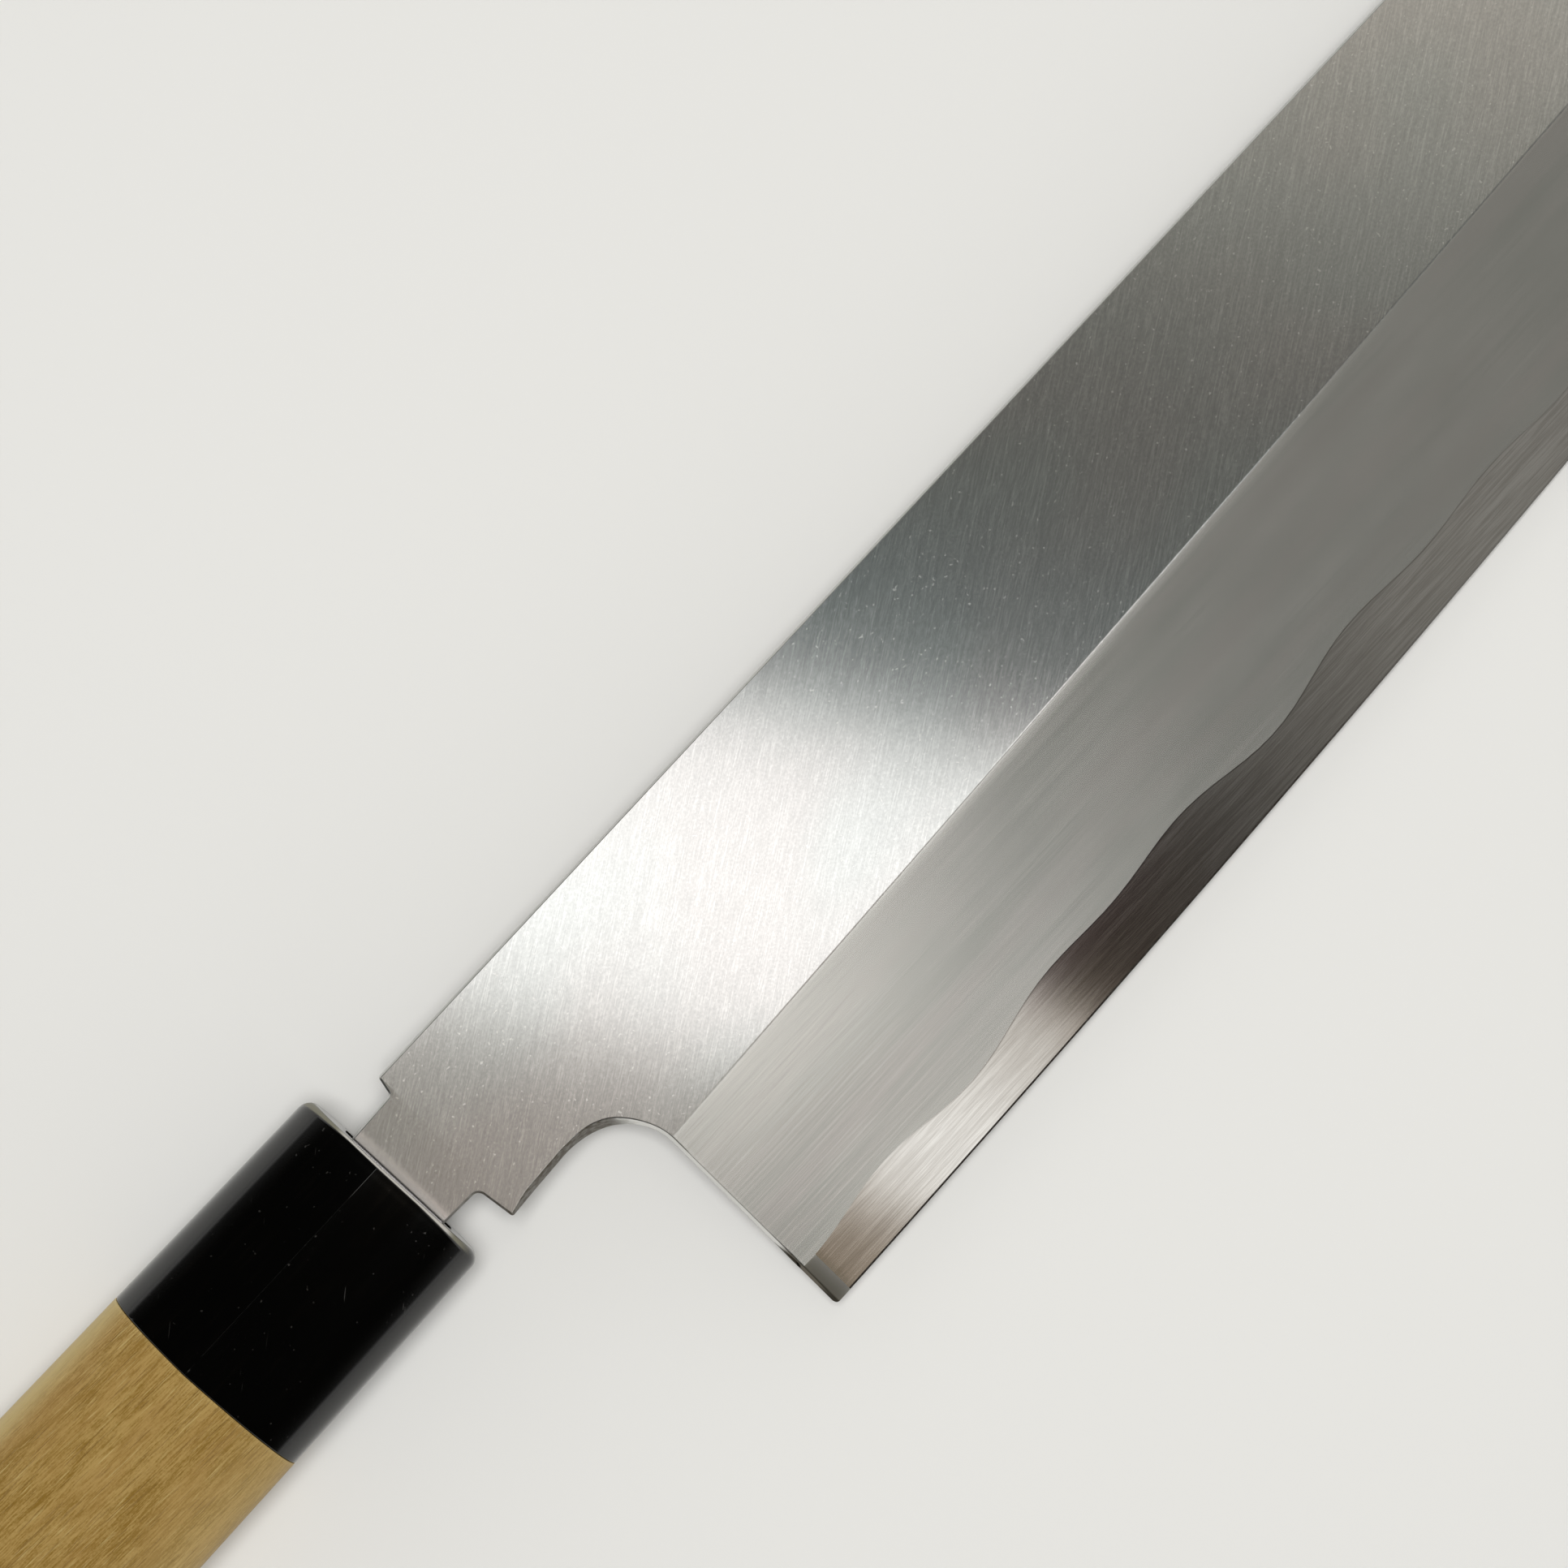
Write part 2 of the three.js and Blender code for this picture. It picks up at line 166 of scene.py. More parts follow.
class HonekiriFinish(bpy.types.PropertyGroup):
    """Colours of the metals, the horn and the wood, and of the light and shade painted on them."""

    iron: colour("Iron", 0.60, 0.595, 0.585, "Brushed flat of the soft iron")
    iron_cool: colour("Cool iron", 0.565, 0.585, 0.575, "Cooler patches of the flat")
    iron_warm: colour("Warm iron", 0.60, 0.565, 0.555, "Warmer patches of the flat")
    iron_dark: colour("Dark iron", 0.34, 0.34, 0.335, "Dark brush lines and grit of the flat")
    haze: colour("Haze", 0.60, 0.595, 0.58, "Hazy bevel of the soft iron")
    haze_dark: colour("Dark haze", 0.50, 0.51, 0.49, "Darker bands of the bevel")
    steel: colour("Steel", 0.67, 0.66, 0.65, "Polished hard steel")
    steel_dark: colour("Dark steel", 0.50, 0.485, 0.47, "Darker lines of the hard steel")
    # Darker than the facet's finish alone: painted shade at the heel's facet and corner
    facet: colour("Heel facet", 0.36, 0.345, 0.30, "Dull facet on the hard steel at the heel")
    # Also painted shade on the slope at the heel's corner, besides the scale of neck and notch
    scale: colour("Forge scale", 0.085, 0.071, 0.051, "Rough dark sides of the neck and the notch")
    weld: colour("Weld line", 0.16, 0.15, 0.135, "Thin line between iron and steel")
    # Painted shade: this colour stands in for the dark line along the edge
    honed_bevel_shade: colour("Honed edge", 0.045, 0.036, 0.031, "Fine bevel along the edge")
    horn: colour("Horn", 0.0006, 0.0006, 0.0005, "Black horn")
    horn_mark: colour("Horn mark", 0.035, 0.033, 0.03, "Specks and fine marks on the horn")
    # Painted highlight along the horn's front rim: bright by the tang, fainter at the sides
    horn_rim_highlight: colour("Horn rim", 0.48, 0.46, 0.42, "Worn front rim of the horn")
    horn_rim_faint_highlight: colour("Dull horn", 0.16, 0.152, 0.108, "Front rim of the horn away from the tang")
    wood: colour("Wood", 0.330, 0.195, 0.054, "Reddish patches of the magnolia wood")
    wood_light: colour("Light wood", 0.385, 0.252, 0.078, "Light fibres of the wood")
    wood_dark: colour("Dark wood", 0.215, 0.119, 0.014, "Dark fibres and pores of the wood")
    # Pale fibres of the wood, and the painted sheen on the grip's outer sides
    wood_pale_and_sheen: colour("Pale wood", 0.52, 0.40, 0.165, "Pale outer side of the grip")


class HonekiriStage(bpy.types.PropertyGroup):
    """Camera, lights and floor."""

    camera_place: triple(
        "Camera place", (-0.0143754, -0.0025176, 0.6370276), "Camera location", unit="LENGTH"
    )
    camera_turn: triple(
        "Camera turn", (0.0074385, 0.0265901, -0.821297), "Camera rotation", subtype="EULER"
    )
    camera_angle: share(
        "Camera angle", 2 * math.atan(966 / 7213.94), "Angle of view", subtype="ANGLE"
    )
    key_light: share("Key light", 17.1, "Radiance of the lamp overhead, for floor and wood")
    key_place: triple("Key place", (-0.01, 0.03, 1.06), "Place of that lamp", unit="LENGTH")
    key_size: length("Key size", 360, "Width and depth of that lamp")
    flat_light: share("Flat light", 2.28, "Radiance of the ceiling panel that the flat mirrors")
    bevel_light: share("Bevel light", 1.7, "Radiance of the ceiling panel that the bevel mirrors")
    backdrop: colour("Backdrop", 0.84, 0.835, 0.82, "Background behind the floor")
    floor: colour("Floor", 0.80, 0.795, 0.775, "Pale floor")
    floor_size: length("Floor size", 24000, "Width and depth of the floor")


# Node graphs


class Value:
    """A number from a node, which takes part in plain Python arithmetic."""

    def __init__(self, graph, socket):
        self.graph = graph
        self.socket = socket

    def math(self, operation, first, second):
        return self.graph.value("ShaderNodeMath", {"operation": operation}, {0: first, 1: second})

    def __add__(self, other):
        return self.math("ADD", self, other)

    def __sub__(self, other):
        return self.math("SUBTRACT", self, other)

    def __rsub__(self, other):
        return self.math("SUBTRACT", other, self)

    def __mul__(self, other):
        return self.math("MULTIPLY", self, other)

    def __pow__(self, other):
        return self.math("POWER", self, other)

    def __rpow__(self, other):
        return self.math("POWER", other, self)

    __radd__ = __add__
    __rmul__ = __mul__

    def ramp(self, start, end):
        """A smooth step from 0 at start to 1 at end, which can be the lower one."""
        low, high = sorted((start, end))
        inputs = {"Value": self, "From Min": low, "From Max": high}
        inputs |= {"To Min": float(start > end), "To Max": float(start < end)}
        return self.graph.value("ShaderNodeMapRange", {"interpolation_type": "SMOOTHSTEP"}, inputs)

    def window(self, first, last, soft):
        """1 between two ends and 0 outside them, with a soft step at each."""
        return self.ramp(first - soft, first + soft) * self.ramp(last + soft, last - soft)


def turned(x, y, angle):
    """Coordinates along and across a direction at an angle."""
    cosine, sine = math.cos(angle), math.sin(angle)
    return x * cosine + y * sine, y * cosine - x * sine


class Graph:
    """The nodes of one material or world."""

    def __init__(self, owner):
        owner.use_nodes = True
        self.owner = owner
        self.tree = owner.node_tree
        self.tree.nodes.clear()

    def node(self, kind, settings=None, inputs=None):
        """A node with its settings, then its socket values and links."""
        node = self.tree.nodes.new(kind)
        for key, value in (settings or {}).items():
            setattr(node, key, value)
        for key, value in (inputs or {}).items():
            if isinstance(value, Value):
                value = value.socket
            if isinstance(value, bpy.types.NodeSocket):
                self.tree.links.new(value, node.inputs[key])
            else:
                node.inputs[key].default_value = value
        return node

    def value(self, kind, settings=None, inputs=None, output=0):
        return Value(self, self.node(kind, settings, inputs).outputs[output])

    def place(self, kind="Object"):
        """x, y and z: the knife's own coordinates in metres, or other coordinates by their name."""
        socket = self.node("ShaderNodeTexCoord").outputs[kind]
        parts = self.node("ShaderNodeSeparateXYZ", None, {0: socket}).outputs
        return [Value(self, part) for part in parts]

    def noise(self, x, y, z, detail=2.0, roughness=0.5):
        """Soft noise about 0.5 at a place."""
        place = self.node("ShaderNodeCombineXYZ", None, {0: x, 1: y, 2: z}).outputs[0]
        inputs = {"Vector": place, "Scale": 1.0, "Detail": detail, "Roughness": roughness}
        return self.value("ShaderNodeTexNoise", None, inputs)

    def stored(self, name):
        """A number that the mesh keeps at each corner of its faces."""
        return self.value("ShaderNodeAttribute", {"attribute_name": name}, None, "Fac")

    def mix(self, factor, *colours):
        """A colour between two others. A plain one of three numbers has full alpha."""
        first, second = ((*c, 1.0) if isinstance(c, tuple) else c for c in colours)
        inputs = {0: factor, 6: first, 7: second}
        return self.node("ShaderNodeMix", {"data_type": "RGBA"}, inputs).outputs[2]

    def layers(self, base, *layers):
        """A colour with others laid over it in turn, each with its mask."""
        for mask, colour_over in layers:
            base = self.mix(mask, base, colour_over)
        return base

    def bump(self, height, distance):
        inputs = {"Height": height, "Distance": distance, "Strength": 1.0}
        return self.node("ShaderNodeBump", None, inputs).outputs[0]

    def surface(self, base, roughness, normal=None, **others):
        """The material with its shader. Other inputs go by their names, with _ for a space."""
        inputs = {"Base Color": base, "Roughness": roughness}
        if normal is not None:
            inputs["Normal"] = normal
        for name, value in others.items():
            inputs[name.replace("_", " ")] = value
        shader = self.node("ShaderNodeBsdfPrincipled", None, inputs)
        self.node("ShaderNodeOutputMaterial", None, {"Surface": shader.outputs[0]})
        return self.owner


def new_graph(name):
    return Graph(bpy.data.materials.new(name))


# Angles of the flat's brush lines, the wood's fibres and the horn's fine marks to the knife's axis
BRUSH_ANGLE = math.radians(30)
FIBRE_ANGLE = math.radians(-3)
SCRATCH_ANGLE = math.atan2(0.6, 0.8)

# Paint along the heel follows its lean, in x over y
HEEL_SLANT = 0.039


def flat_material(finish):
    """Soft iron brushed at a slant, with fine specks, faint warm and cool patches, and a painted
    highlight on the tang by the ferrule.
    """
    g = new_graph("brushed_iron")
    x, y, z = g.place()
    along, across = turned(x, y, BRUSH_ANGLE)
    fine = g.noise(along * 380, across * 6800, z * 400, 3.0, 0.6)
    broad = g.noise(along * 60, across * 1500, z * 100)
    patch = g.noise(x * 34, y * 48, 0.0, 1.0)
    grit = g.noise(x * 3300, y * 3300, z * 3300, 1.0)
    speck = g.noise(x * 2300, y * 2300, z * 2300, 1.0).ramp(0.70, 0.77)
    streak = (fine - 0.5) * 0.8 + (broad - 0.5) * 0.25
    tint = g.mix(patch.ramp(0.36, 0.66), finish.iron_cool, finish.iron_warm)
    base = g.layers(
        g.mix(0.45, tint, finish.iron),
        (streak.ramp(0.2, -0.2) * 0.40, finish.iron_dark),
        (streak.ramp(0.02, 0.25) * 0.40, (0.78, 0.775, 0.76)),
        (grit.ramp(0.55, 0.2) * 0.22, finish.iron_dark),
        (grit.ramp(0.5, 0.85) * 0.22, (0.85, 0.845, 0.83)),
        (speck * 0.6, (0.92, 0.91, 0.89)),
        # Painted highlight: the tang is lighter just in front of the ferrule
        (x.ramp(-0.0049, -0.0067), (1.0, 0.95, 0.965)),
    )
    rough = 0.15 + streak * 0.02 + speck * 0.05
    normal = g.bump(fine + broad * 0.4, 3e-7)
    return g.surface(base, rough, normal, Metallic=1.0, Anisotropic=1.0)


def bevel_material(finish):
    """Hazy soft iron with bands and fine lines along the blade, lighter beside the weld, with
    painted highlights near the heel and along the ridge and painted shade towards the tip.
    """
    g = new_graph("hazy_iron")
    x, y, _ = g.place()
    weld = g.stored("gap")
    below = g.stored("below")
    band = g.noise(x * 14, y * 420, 0.0, 3.0, 0.6)
    fine = g.noise(x * 60, y * 4200, 0.0)
    cloud = g.noise(x * 70, y * 160, 0.0)
    pink = g.noise(x * 22, y * 210, 3.0, 1.0).ramp(0.40, 0.70)
    line = g.noise(x * 90, y * 3600, 5.0, 2.0, 0.6)
    tone = band * 0.4 + fine * 0.24 + cloud * 0.32
    # Painted highlight: the bevel is lighter near the heel, away from the weld
    heel = weld.ramp(0.005, 0.019) * x.ramp(0.080, 0.025) * (0.5 + x.ramp(0.016, 0.032) * 0.3)
    near_heel = x.ramp(0.060, 0.028)
    # Painted highlight: a light strip just below the ridge, faint at the heel and gone towards the
    # tip
    crest = (0.25 + 0.75 * x.ramp(0.038, 0.066)) * x.ramp(0.150, 0.080)
    base = g.layers(
        g.mix(tone.ramp(0.33, 0.64), finish.haze_dark, finish.haze),
        (pink * 0.45, finish.iron_warm),
        (heel, (0.80, 0.79, 0.77)),
        (line.ramp(0.46, 0.78) * near_heel * 0.34, (0.84, 0.82, 0.80)),
        (line.ramp(0.52, 0.25) * near_heel * 0.22, (0.42, 0.415, 0.40)),
        (weld.ramp(0.0016, 0.0001) * x.ramp(0.075, 0.04) * 0.18, (0.74, 0.73, 0.71)),
        # Painted shade: the bevel darker towards the tip
        (x.ramp(0.052, 0.100) * 0.38, (0.36, 0.36, 0.345)),
        (below.ramp(0.0013, 0.0) * crest * 0.65, (0.95, 0.94, 0.92)),
    )
    rough = 0.25 + (tone - 0.5) * 0.06
    normal = g.bump(fine + band, 6e-7)
    turn = 1.0 - BRUSH_ANGLE / (2 * math.pi)
    gloss = {"Anisotropic": 0.86, "Anisotropic_Rotation": turn}
    return g.surface(base, rough, normal, Metallic=1.0, **gloss)


def steel_material(finish):
    """Polished hard steel with fine lines along the edge, a painted brownish reflection part way
    along, and painted shade beside the heel's facet.
    """
    g = new_graph("polished_steel")
    x, y, z = g.place()
    weld = g.stored("gap")
    fine = g.noise(x * 150, y * 5200, z * 300, 3.0, 0.7)
    band = g.noise(x * 24, y * 900, z * 60)
    tone = fine * 0.72 + band * 0.28
    line = weld.ramp(0.00022, 0.00004) * x.ramp(0.022, 0.048)
    # Painted shade: a soft dark border on the hard steel beside the heel's facet
    facet = (x - y * HEEL_SLANT + (tone - 0.5) * 0.0016).ramp(0.0206, 0.0195)
    # Painted reflection: a brownish patch on the polished steel between about 50 and 85 mm along
    brown_reflection = g.mix(weld.ramp(0.0, 0.004), (0.56, 0.40, 0.38), (0.47, 0.36, 0.27))
    base = g.layers(
        g.mix(tone.ramp(0.36, 0.64), finish.steel_dark, finish.steel),
        (x.ramp(0.050, 0.062) * x.ramp(0.085, 0.060) * 0.55, brown_reflection),
        (line * (x.ramp(0.19, 0.08) * 0.5 + 0.1), finish.weld),
        (facet * 0.55, finish.facet),
    )
    rough = 0.08 + (tone - 0.5) * 0.04
    normal = g.bump(fine + band * 0.5, 8e-7)
    return g.surface(base, rough, normal, Metallic=1.0, Anisotropic=0.9)


def back_material(finish):
    """The hollow back: ground steel with faint grinding marks across the blade."""
    g = new_graph("ground_steel")
    x, y, _ = g.place()
    fine = g.noise(x * 3600, y * 60, 0.0, 3.0, 0.6)
    cloud = g.noise(x * 40, y * 60, 0.0, 3.0)
    tone = fine * 0.6 + cloud * 0.4
    base = g.mix(tone.ramp(0.34, 0.66), finish.steel_dark, finish.steel)
    return g.surface(base, 0.30 + (tone - 0.5) * 0.16, g.bump(fine, 5e-6), Metallic=1.0)


def edge_material(finish):
    """The fine bevel along the edge, with honing marks across it, painted dark as a shade line that
    fades towards the tip.
    """
    g = new_graph("honed_edge")
    x, y, z = g.place()
    mark = g.noise(x * 3000, y * 200, z * 200)
    # Painted shade: the fine bevel is near black as a dark line along the edge, lighter towards the
    # tip
    base = g.mix(mark.ramp(0.35, 0.7) * 0.4, finish.honed_bevel_shade, finish.weld)
    base = g.mix(x.ramp(0.085, 0.125) * 0.7, base, (0.30, 0.29, 0.27))
    return g.surface(base, 0.32 + (mark - 0.5) * 0.1, Metallic=1.0)


def side_material(finish):
    """Sides of the blade: dark and rough round the neck and notch, clean along heel and spine, with
    a painted reflection on the clean slope past the notch and painted shade at the heel's corner.
    """
    g = new_graph("blade_sides")
    x, y, z = g.place()
    grain = g.noise(x * 1500, y * 1500, z * 1500, 4.0, 0.65)
    line = g.noise(x * 60, y * 60, z * 2600)
    tone = grain * 0.5 + line * 0.5
    under = y.ramp(-0.0065, -0.0075)
    left = (x + (grain - 0.5) * 0.002).ramp(0.0155, 0.0132)
    rough_side = under * left * (0.72 + 0.28 * grain.ramp(0.35, 0.6))
    # The heel's corner: partly the facet's rough finish, partly painted shade
    dull_and_shaded = x.ramp(0.0191, 0.0161) * y.ramp(-0.0352, -0.0372)
    base = g.layers(
        g.mix(tone.ramp(0.34, 0.66), finish.haze_dark, finish.haze),
        # Painted reflection: the clean lower sides past the notch's scale are lighter
        (under * (1.0 - left) * 0.5, (0.96, 0.95, 0.92)),
        (dull_and_shaded, finish.facet),
        # Painted shade: the slope at the heel's corner darkened with the scale colour
        (dull_and_shaded * (x - y * HEEL_SLANT).ramp(0.01775, 0.01750) * 0.8, finish.scale),
        (rough_side, finish.scale),
    )
    rough = 0.33 + rough_side * 0.3 + (tone - 0.5) * 0.12
    normal = g.bump(grain * rough_side * 0.6 + line * 0.12, 4e-5)
    return g.surface(base, rough, normal, Metallic=1.0 - rough_side * 0.55)


def horn_material(finish):
    """Black polished horn with faint fibres, specks and fine marks, and a painted highlight along
    its front rim.
    """
    g = new_graph("black_horn")
    x, y, z = g.place()
    along, across = turned(x, y, SCRATCH_ANGLE)
    fibre = g.noise(x * 130, y * 900, z * 900, 3.0, 0.6)
    speck = g.noise(x * 1700, y * 1700, z * 1700, 1.0).ramp(0.74, 0.80)
    scratch = g.noise(along * 140, across * 4200, z * 900, 1.0).ramp(0.76, 0.82)
    mark = speck * 0.5 + scratch * 0.35
    # Painted highlight along the front rim: bright in front of the tang, fainter at the sides
    rim = g.stored("gap").ramp(0.00022, 0.00010) * y.ramp(-0.0118, -0.0095) * z.ramp(-0.001, 0.001)
    at_tang = y.ramp(-0.0090, -0.0076) * y.ramp(0.0084, 0.0066)
    base = g.layers(
        finish.horn,
        (fibre.ramp(0.5, 0.8) * 0.25, (0.004, 0.003, 0.002)),
        (mark, finish.horn_mark),
        (rim, g.mix(at_tang, finish.horn_rim_faint_highlight, finish.horn_rim_highlight)),
    )
    flank = y.ramp(0.0085, 0.0108) + y.ramp(-0.0085, -0.0108)
    rough = 0.055 + flank * 0.09 + (fibre - 0.5) * 0.02 + mark * 0.2 + rim * 0.35
    normal = g.bump((fibre * 0.5 - mark) * x.ramp(-0.0070, -0.0078), 3e-6)
    return g.surface(base, rough, normal, IOR=1.58)


def wood_material(finish):
    """Magnolia: many short fibres at a slight slant, soft patches, pale fibres and a painted sheen
    along the outer sides.
    """
    g = new_graph("magnolia_wood")
    x, y, z = g.place()
    along, across = turned(x, y, FIBRE_ANGLE)
    stripe = g.noise(along * 14, across * 300, z * 230, 3.0, 0.55)
    patch = g.noise(along * 190, across * 800, z * 640)
    fibre = g.noise(along * 430, across * 5600, z * 4600, 2.0, 0.65)
    red = g.noise(along * 90, across * 420, z * 340 + 7.0, 1.0)
    pore = g.noise(along * 210, across * 4800, z * 4000 + 20.0, 1.0).ramp(0.60, 0.72)
    pale = g.noise(along * 250, across * 4300, z * 3600 + 40.0, 1.0).ramp(0.60, 0.80)
    speck = g.noise(along * 3600, across * 5200, z * 4600, 1.0)
    tone = (stripe - 0.5) * 1.4 + (patch - 0.5) * 0.9 + (fibre - 0.5) * 2.5 + (speck - 0.5) * 0.9
    # Painted sheen: the outer sides are paler, strongly on the spine's side and faintly on the
    # other; the front edge by the joint is a little paler too
    sides = y.ramp(0.0106, 0.0131) * 0.85 + y.ramp(-0.004, -0.0125) * 0.22
    base = g.layers(
        g.mix(tone.ramp(-0.6, 0.6), finish.wood_dark, finish.wood_light),
        (red.ramp(0.42, 0.68) * 0.35, finish.wood),
        (pore * 0.45, (0.15, 0.078, 0.014)),
        (pale * 0.5, finish.wood_pale_and_sheen),
        (sides + x.ramp(-0.0371, -0.0367) * 0.12, finish.wood_pale_and_sheen),
    )
    rough = 0.52 + (fibre - 0.5) * 0.2 + pore * 0.1
    normal = g.bump(fibre * 0.6 - pore * 0.8 + pale * 0.2, 2.5e-5)
    return g.surface(base, rough, normal, IOR=1.5)


# Shapes


def lerp(first, second, amount):
    return first + (second - first) * amount


def smooth_step(value, low, high):
    amount = np.clip((value - low) / (high - low), 0.0, 1.0)
    return amount * amount * (3 - 2 * amount)


def join(*parts):
    """One array of points or numbers from several."""
    return np.concatenate(parts)


def pairs(x, y):
    """Points in plan."""
    return np.stack(np.broadcast_arrays(x, y), axis=-1)


def raised(plan, heights):
    """Points in space from points in plan and their heights."""
    heights = np.broadcast_to(heights, plan.shape[:-1])
    return np.concatenate([plan, heights[..., None]], axis=-1)


def inward_normals(line, side):
    """Unit normals of a line in plan, on its left for side 1 and on its right for side -1."""
    way = np.gradient(line, axis=0)
    way /= np.linalg.norm(way, axis=1)[:, None]
    return side * pairs(-way[:, 1], way[:, 0])


def arc(centre, radius, start, end, count=7):
    """Points of an arc in plan from one angle to another, in degrees."""
    angle = np.radians(np.linspace(start, end, count))
    return np.array(centre) + radius * pairs(np.cos(angle), np.sin(angle))


class Skin:
    """Patches of points that together close one body."""

    # Points this close are one point, and edges this short are none
    joined = 2e-6
    vanishing = 1e-7

    def __init__(self, name):
        self.name = name
        self.points = []
        self.faces = []
        self.finishes = []
        self.stored = {"gap": [], "below": []}

    def add(self, points, **given):
        start = len(self.points)
        self.points.extend(points.reshape(-1, 3))
        for name, values in self.stored.items():
            values.extend(np.broadcast_to(given.get(name, 1.0), points.shape[:-1]).reshape(-1))
        return start

    def patch(self, grid, finish=0, gap=1.0, below=1.0):
        """Quads between the rows and columns of a grid of points.

        Each point can have its gap to the weld or rim and its distance below the ridge.
        """
        rows, columns = grid.shape[:2]
        start = self.add(grid, gap=gap, below=below)
        for row in range(rows - 1):
            for column in range(columns - 1):
                a = start + row * columns + column
                self.faces.append((a, a + 1, a + columns + 1, a + columns))
                self.finishes.append(finish)

    def face(self, points, finish=0):
        """One flat face round a loop of points."""
        start = self.add(points)
        self.faces.append(tuple(range(start, start + len(points))))
        self.finishes.append(finish)

    def make(self, materials, place, crease, borders=False):
        """The object, with shared points joined, normals outward and edges sharp past an angle.

        With borders set, edges between two finishes are sharp too.
        """
        mesh = bpy.data.meshes.new(self.name)
        mesh.from_pydata([tuple(p) for p in self.points], [], self.faces)
        for material in materials:
            mesh.materials.append(material)
        mesh.polygons.foreach_set("material_index", self.finishes)
        corners = [point for face in self.faces for point in face]
        for name, values in self.stored.items():
            layer = mesh.attributes.new(name, "FLOAT", "CORNER")
            layer.data.foreach_set("value", [values[point] for point in corners])
        work = bmesh.new()
        work.from_mesh(mesh)
        bmesh.ops.remove_doubles(work, verts=work.verts, dist=self.joined)
        bmesh.ops.dissolve_degenerate(work, edges=work.edges, dist=self.vanishing)
        bmesh.ops.recalc_face_normals(work, faces=work.faces)
        open_edges = sum(not edge.is_manifold for edge in work.edges)
        work.to_mesh(mesh)
        work.free()
        if open_edges:
            raise RuntimeError(f"{self.name} is not closed: {open_edges} open edges")
        mesh.polygons.foreach_set("use_smooth", [True] * len(mesh.polygons))
        mesh.set_sharp_from_angle(angle=crease)
        if borders:
            kinds = {}
            for polygon in mesh.polygons:
                for corner in polygon.loop_indices:
                    edge = mesh.loops[corner].edge_index
                    kinds.setdefault(edge, set()).add(polygon.material_index)
            for edge, finishes in kinds.items():
                if len(finishes) > 1:
                    mesh.edges[edge].use_edge_sharp = True
        piece = bpy.data.objects.new(self.name, mesh)
        piece.matrix_world = place
        bpy.context.scene.collection.objects.link(piece)
        normals = piece.modifiers.new("face_weighted_normals", "WEIGHTED_NORMAL")
        normals.keep_sharp = True
        normals.weight = 50
        return piece


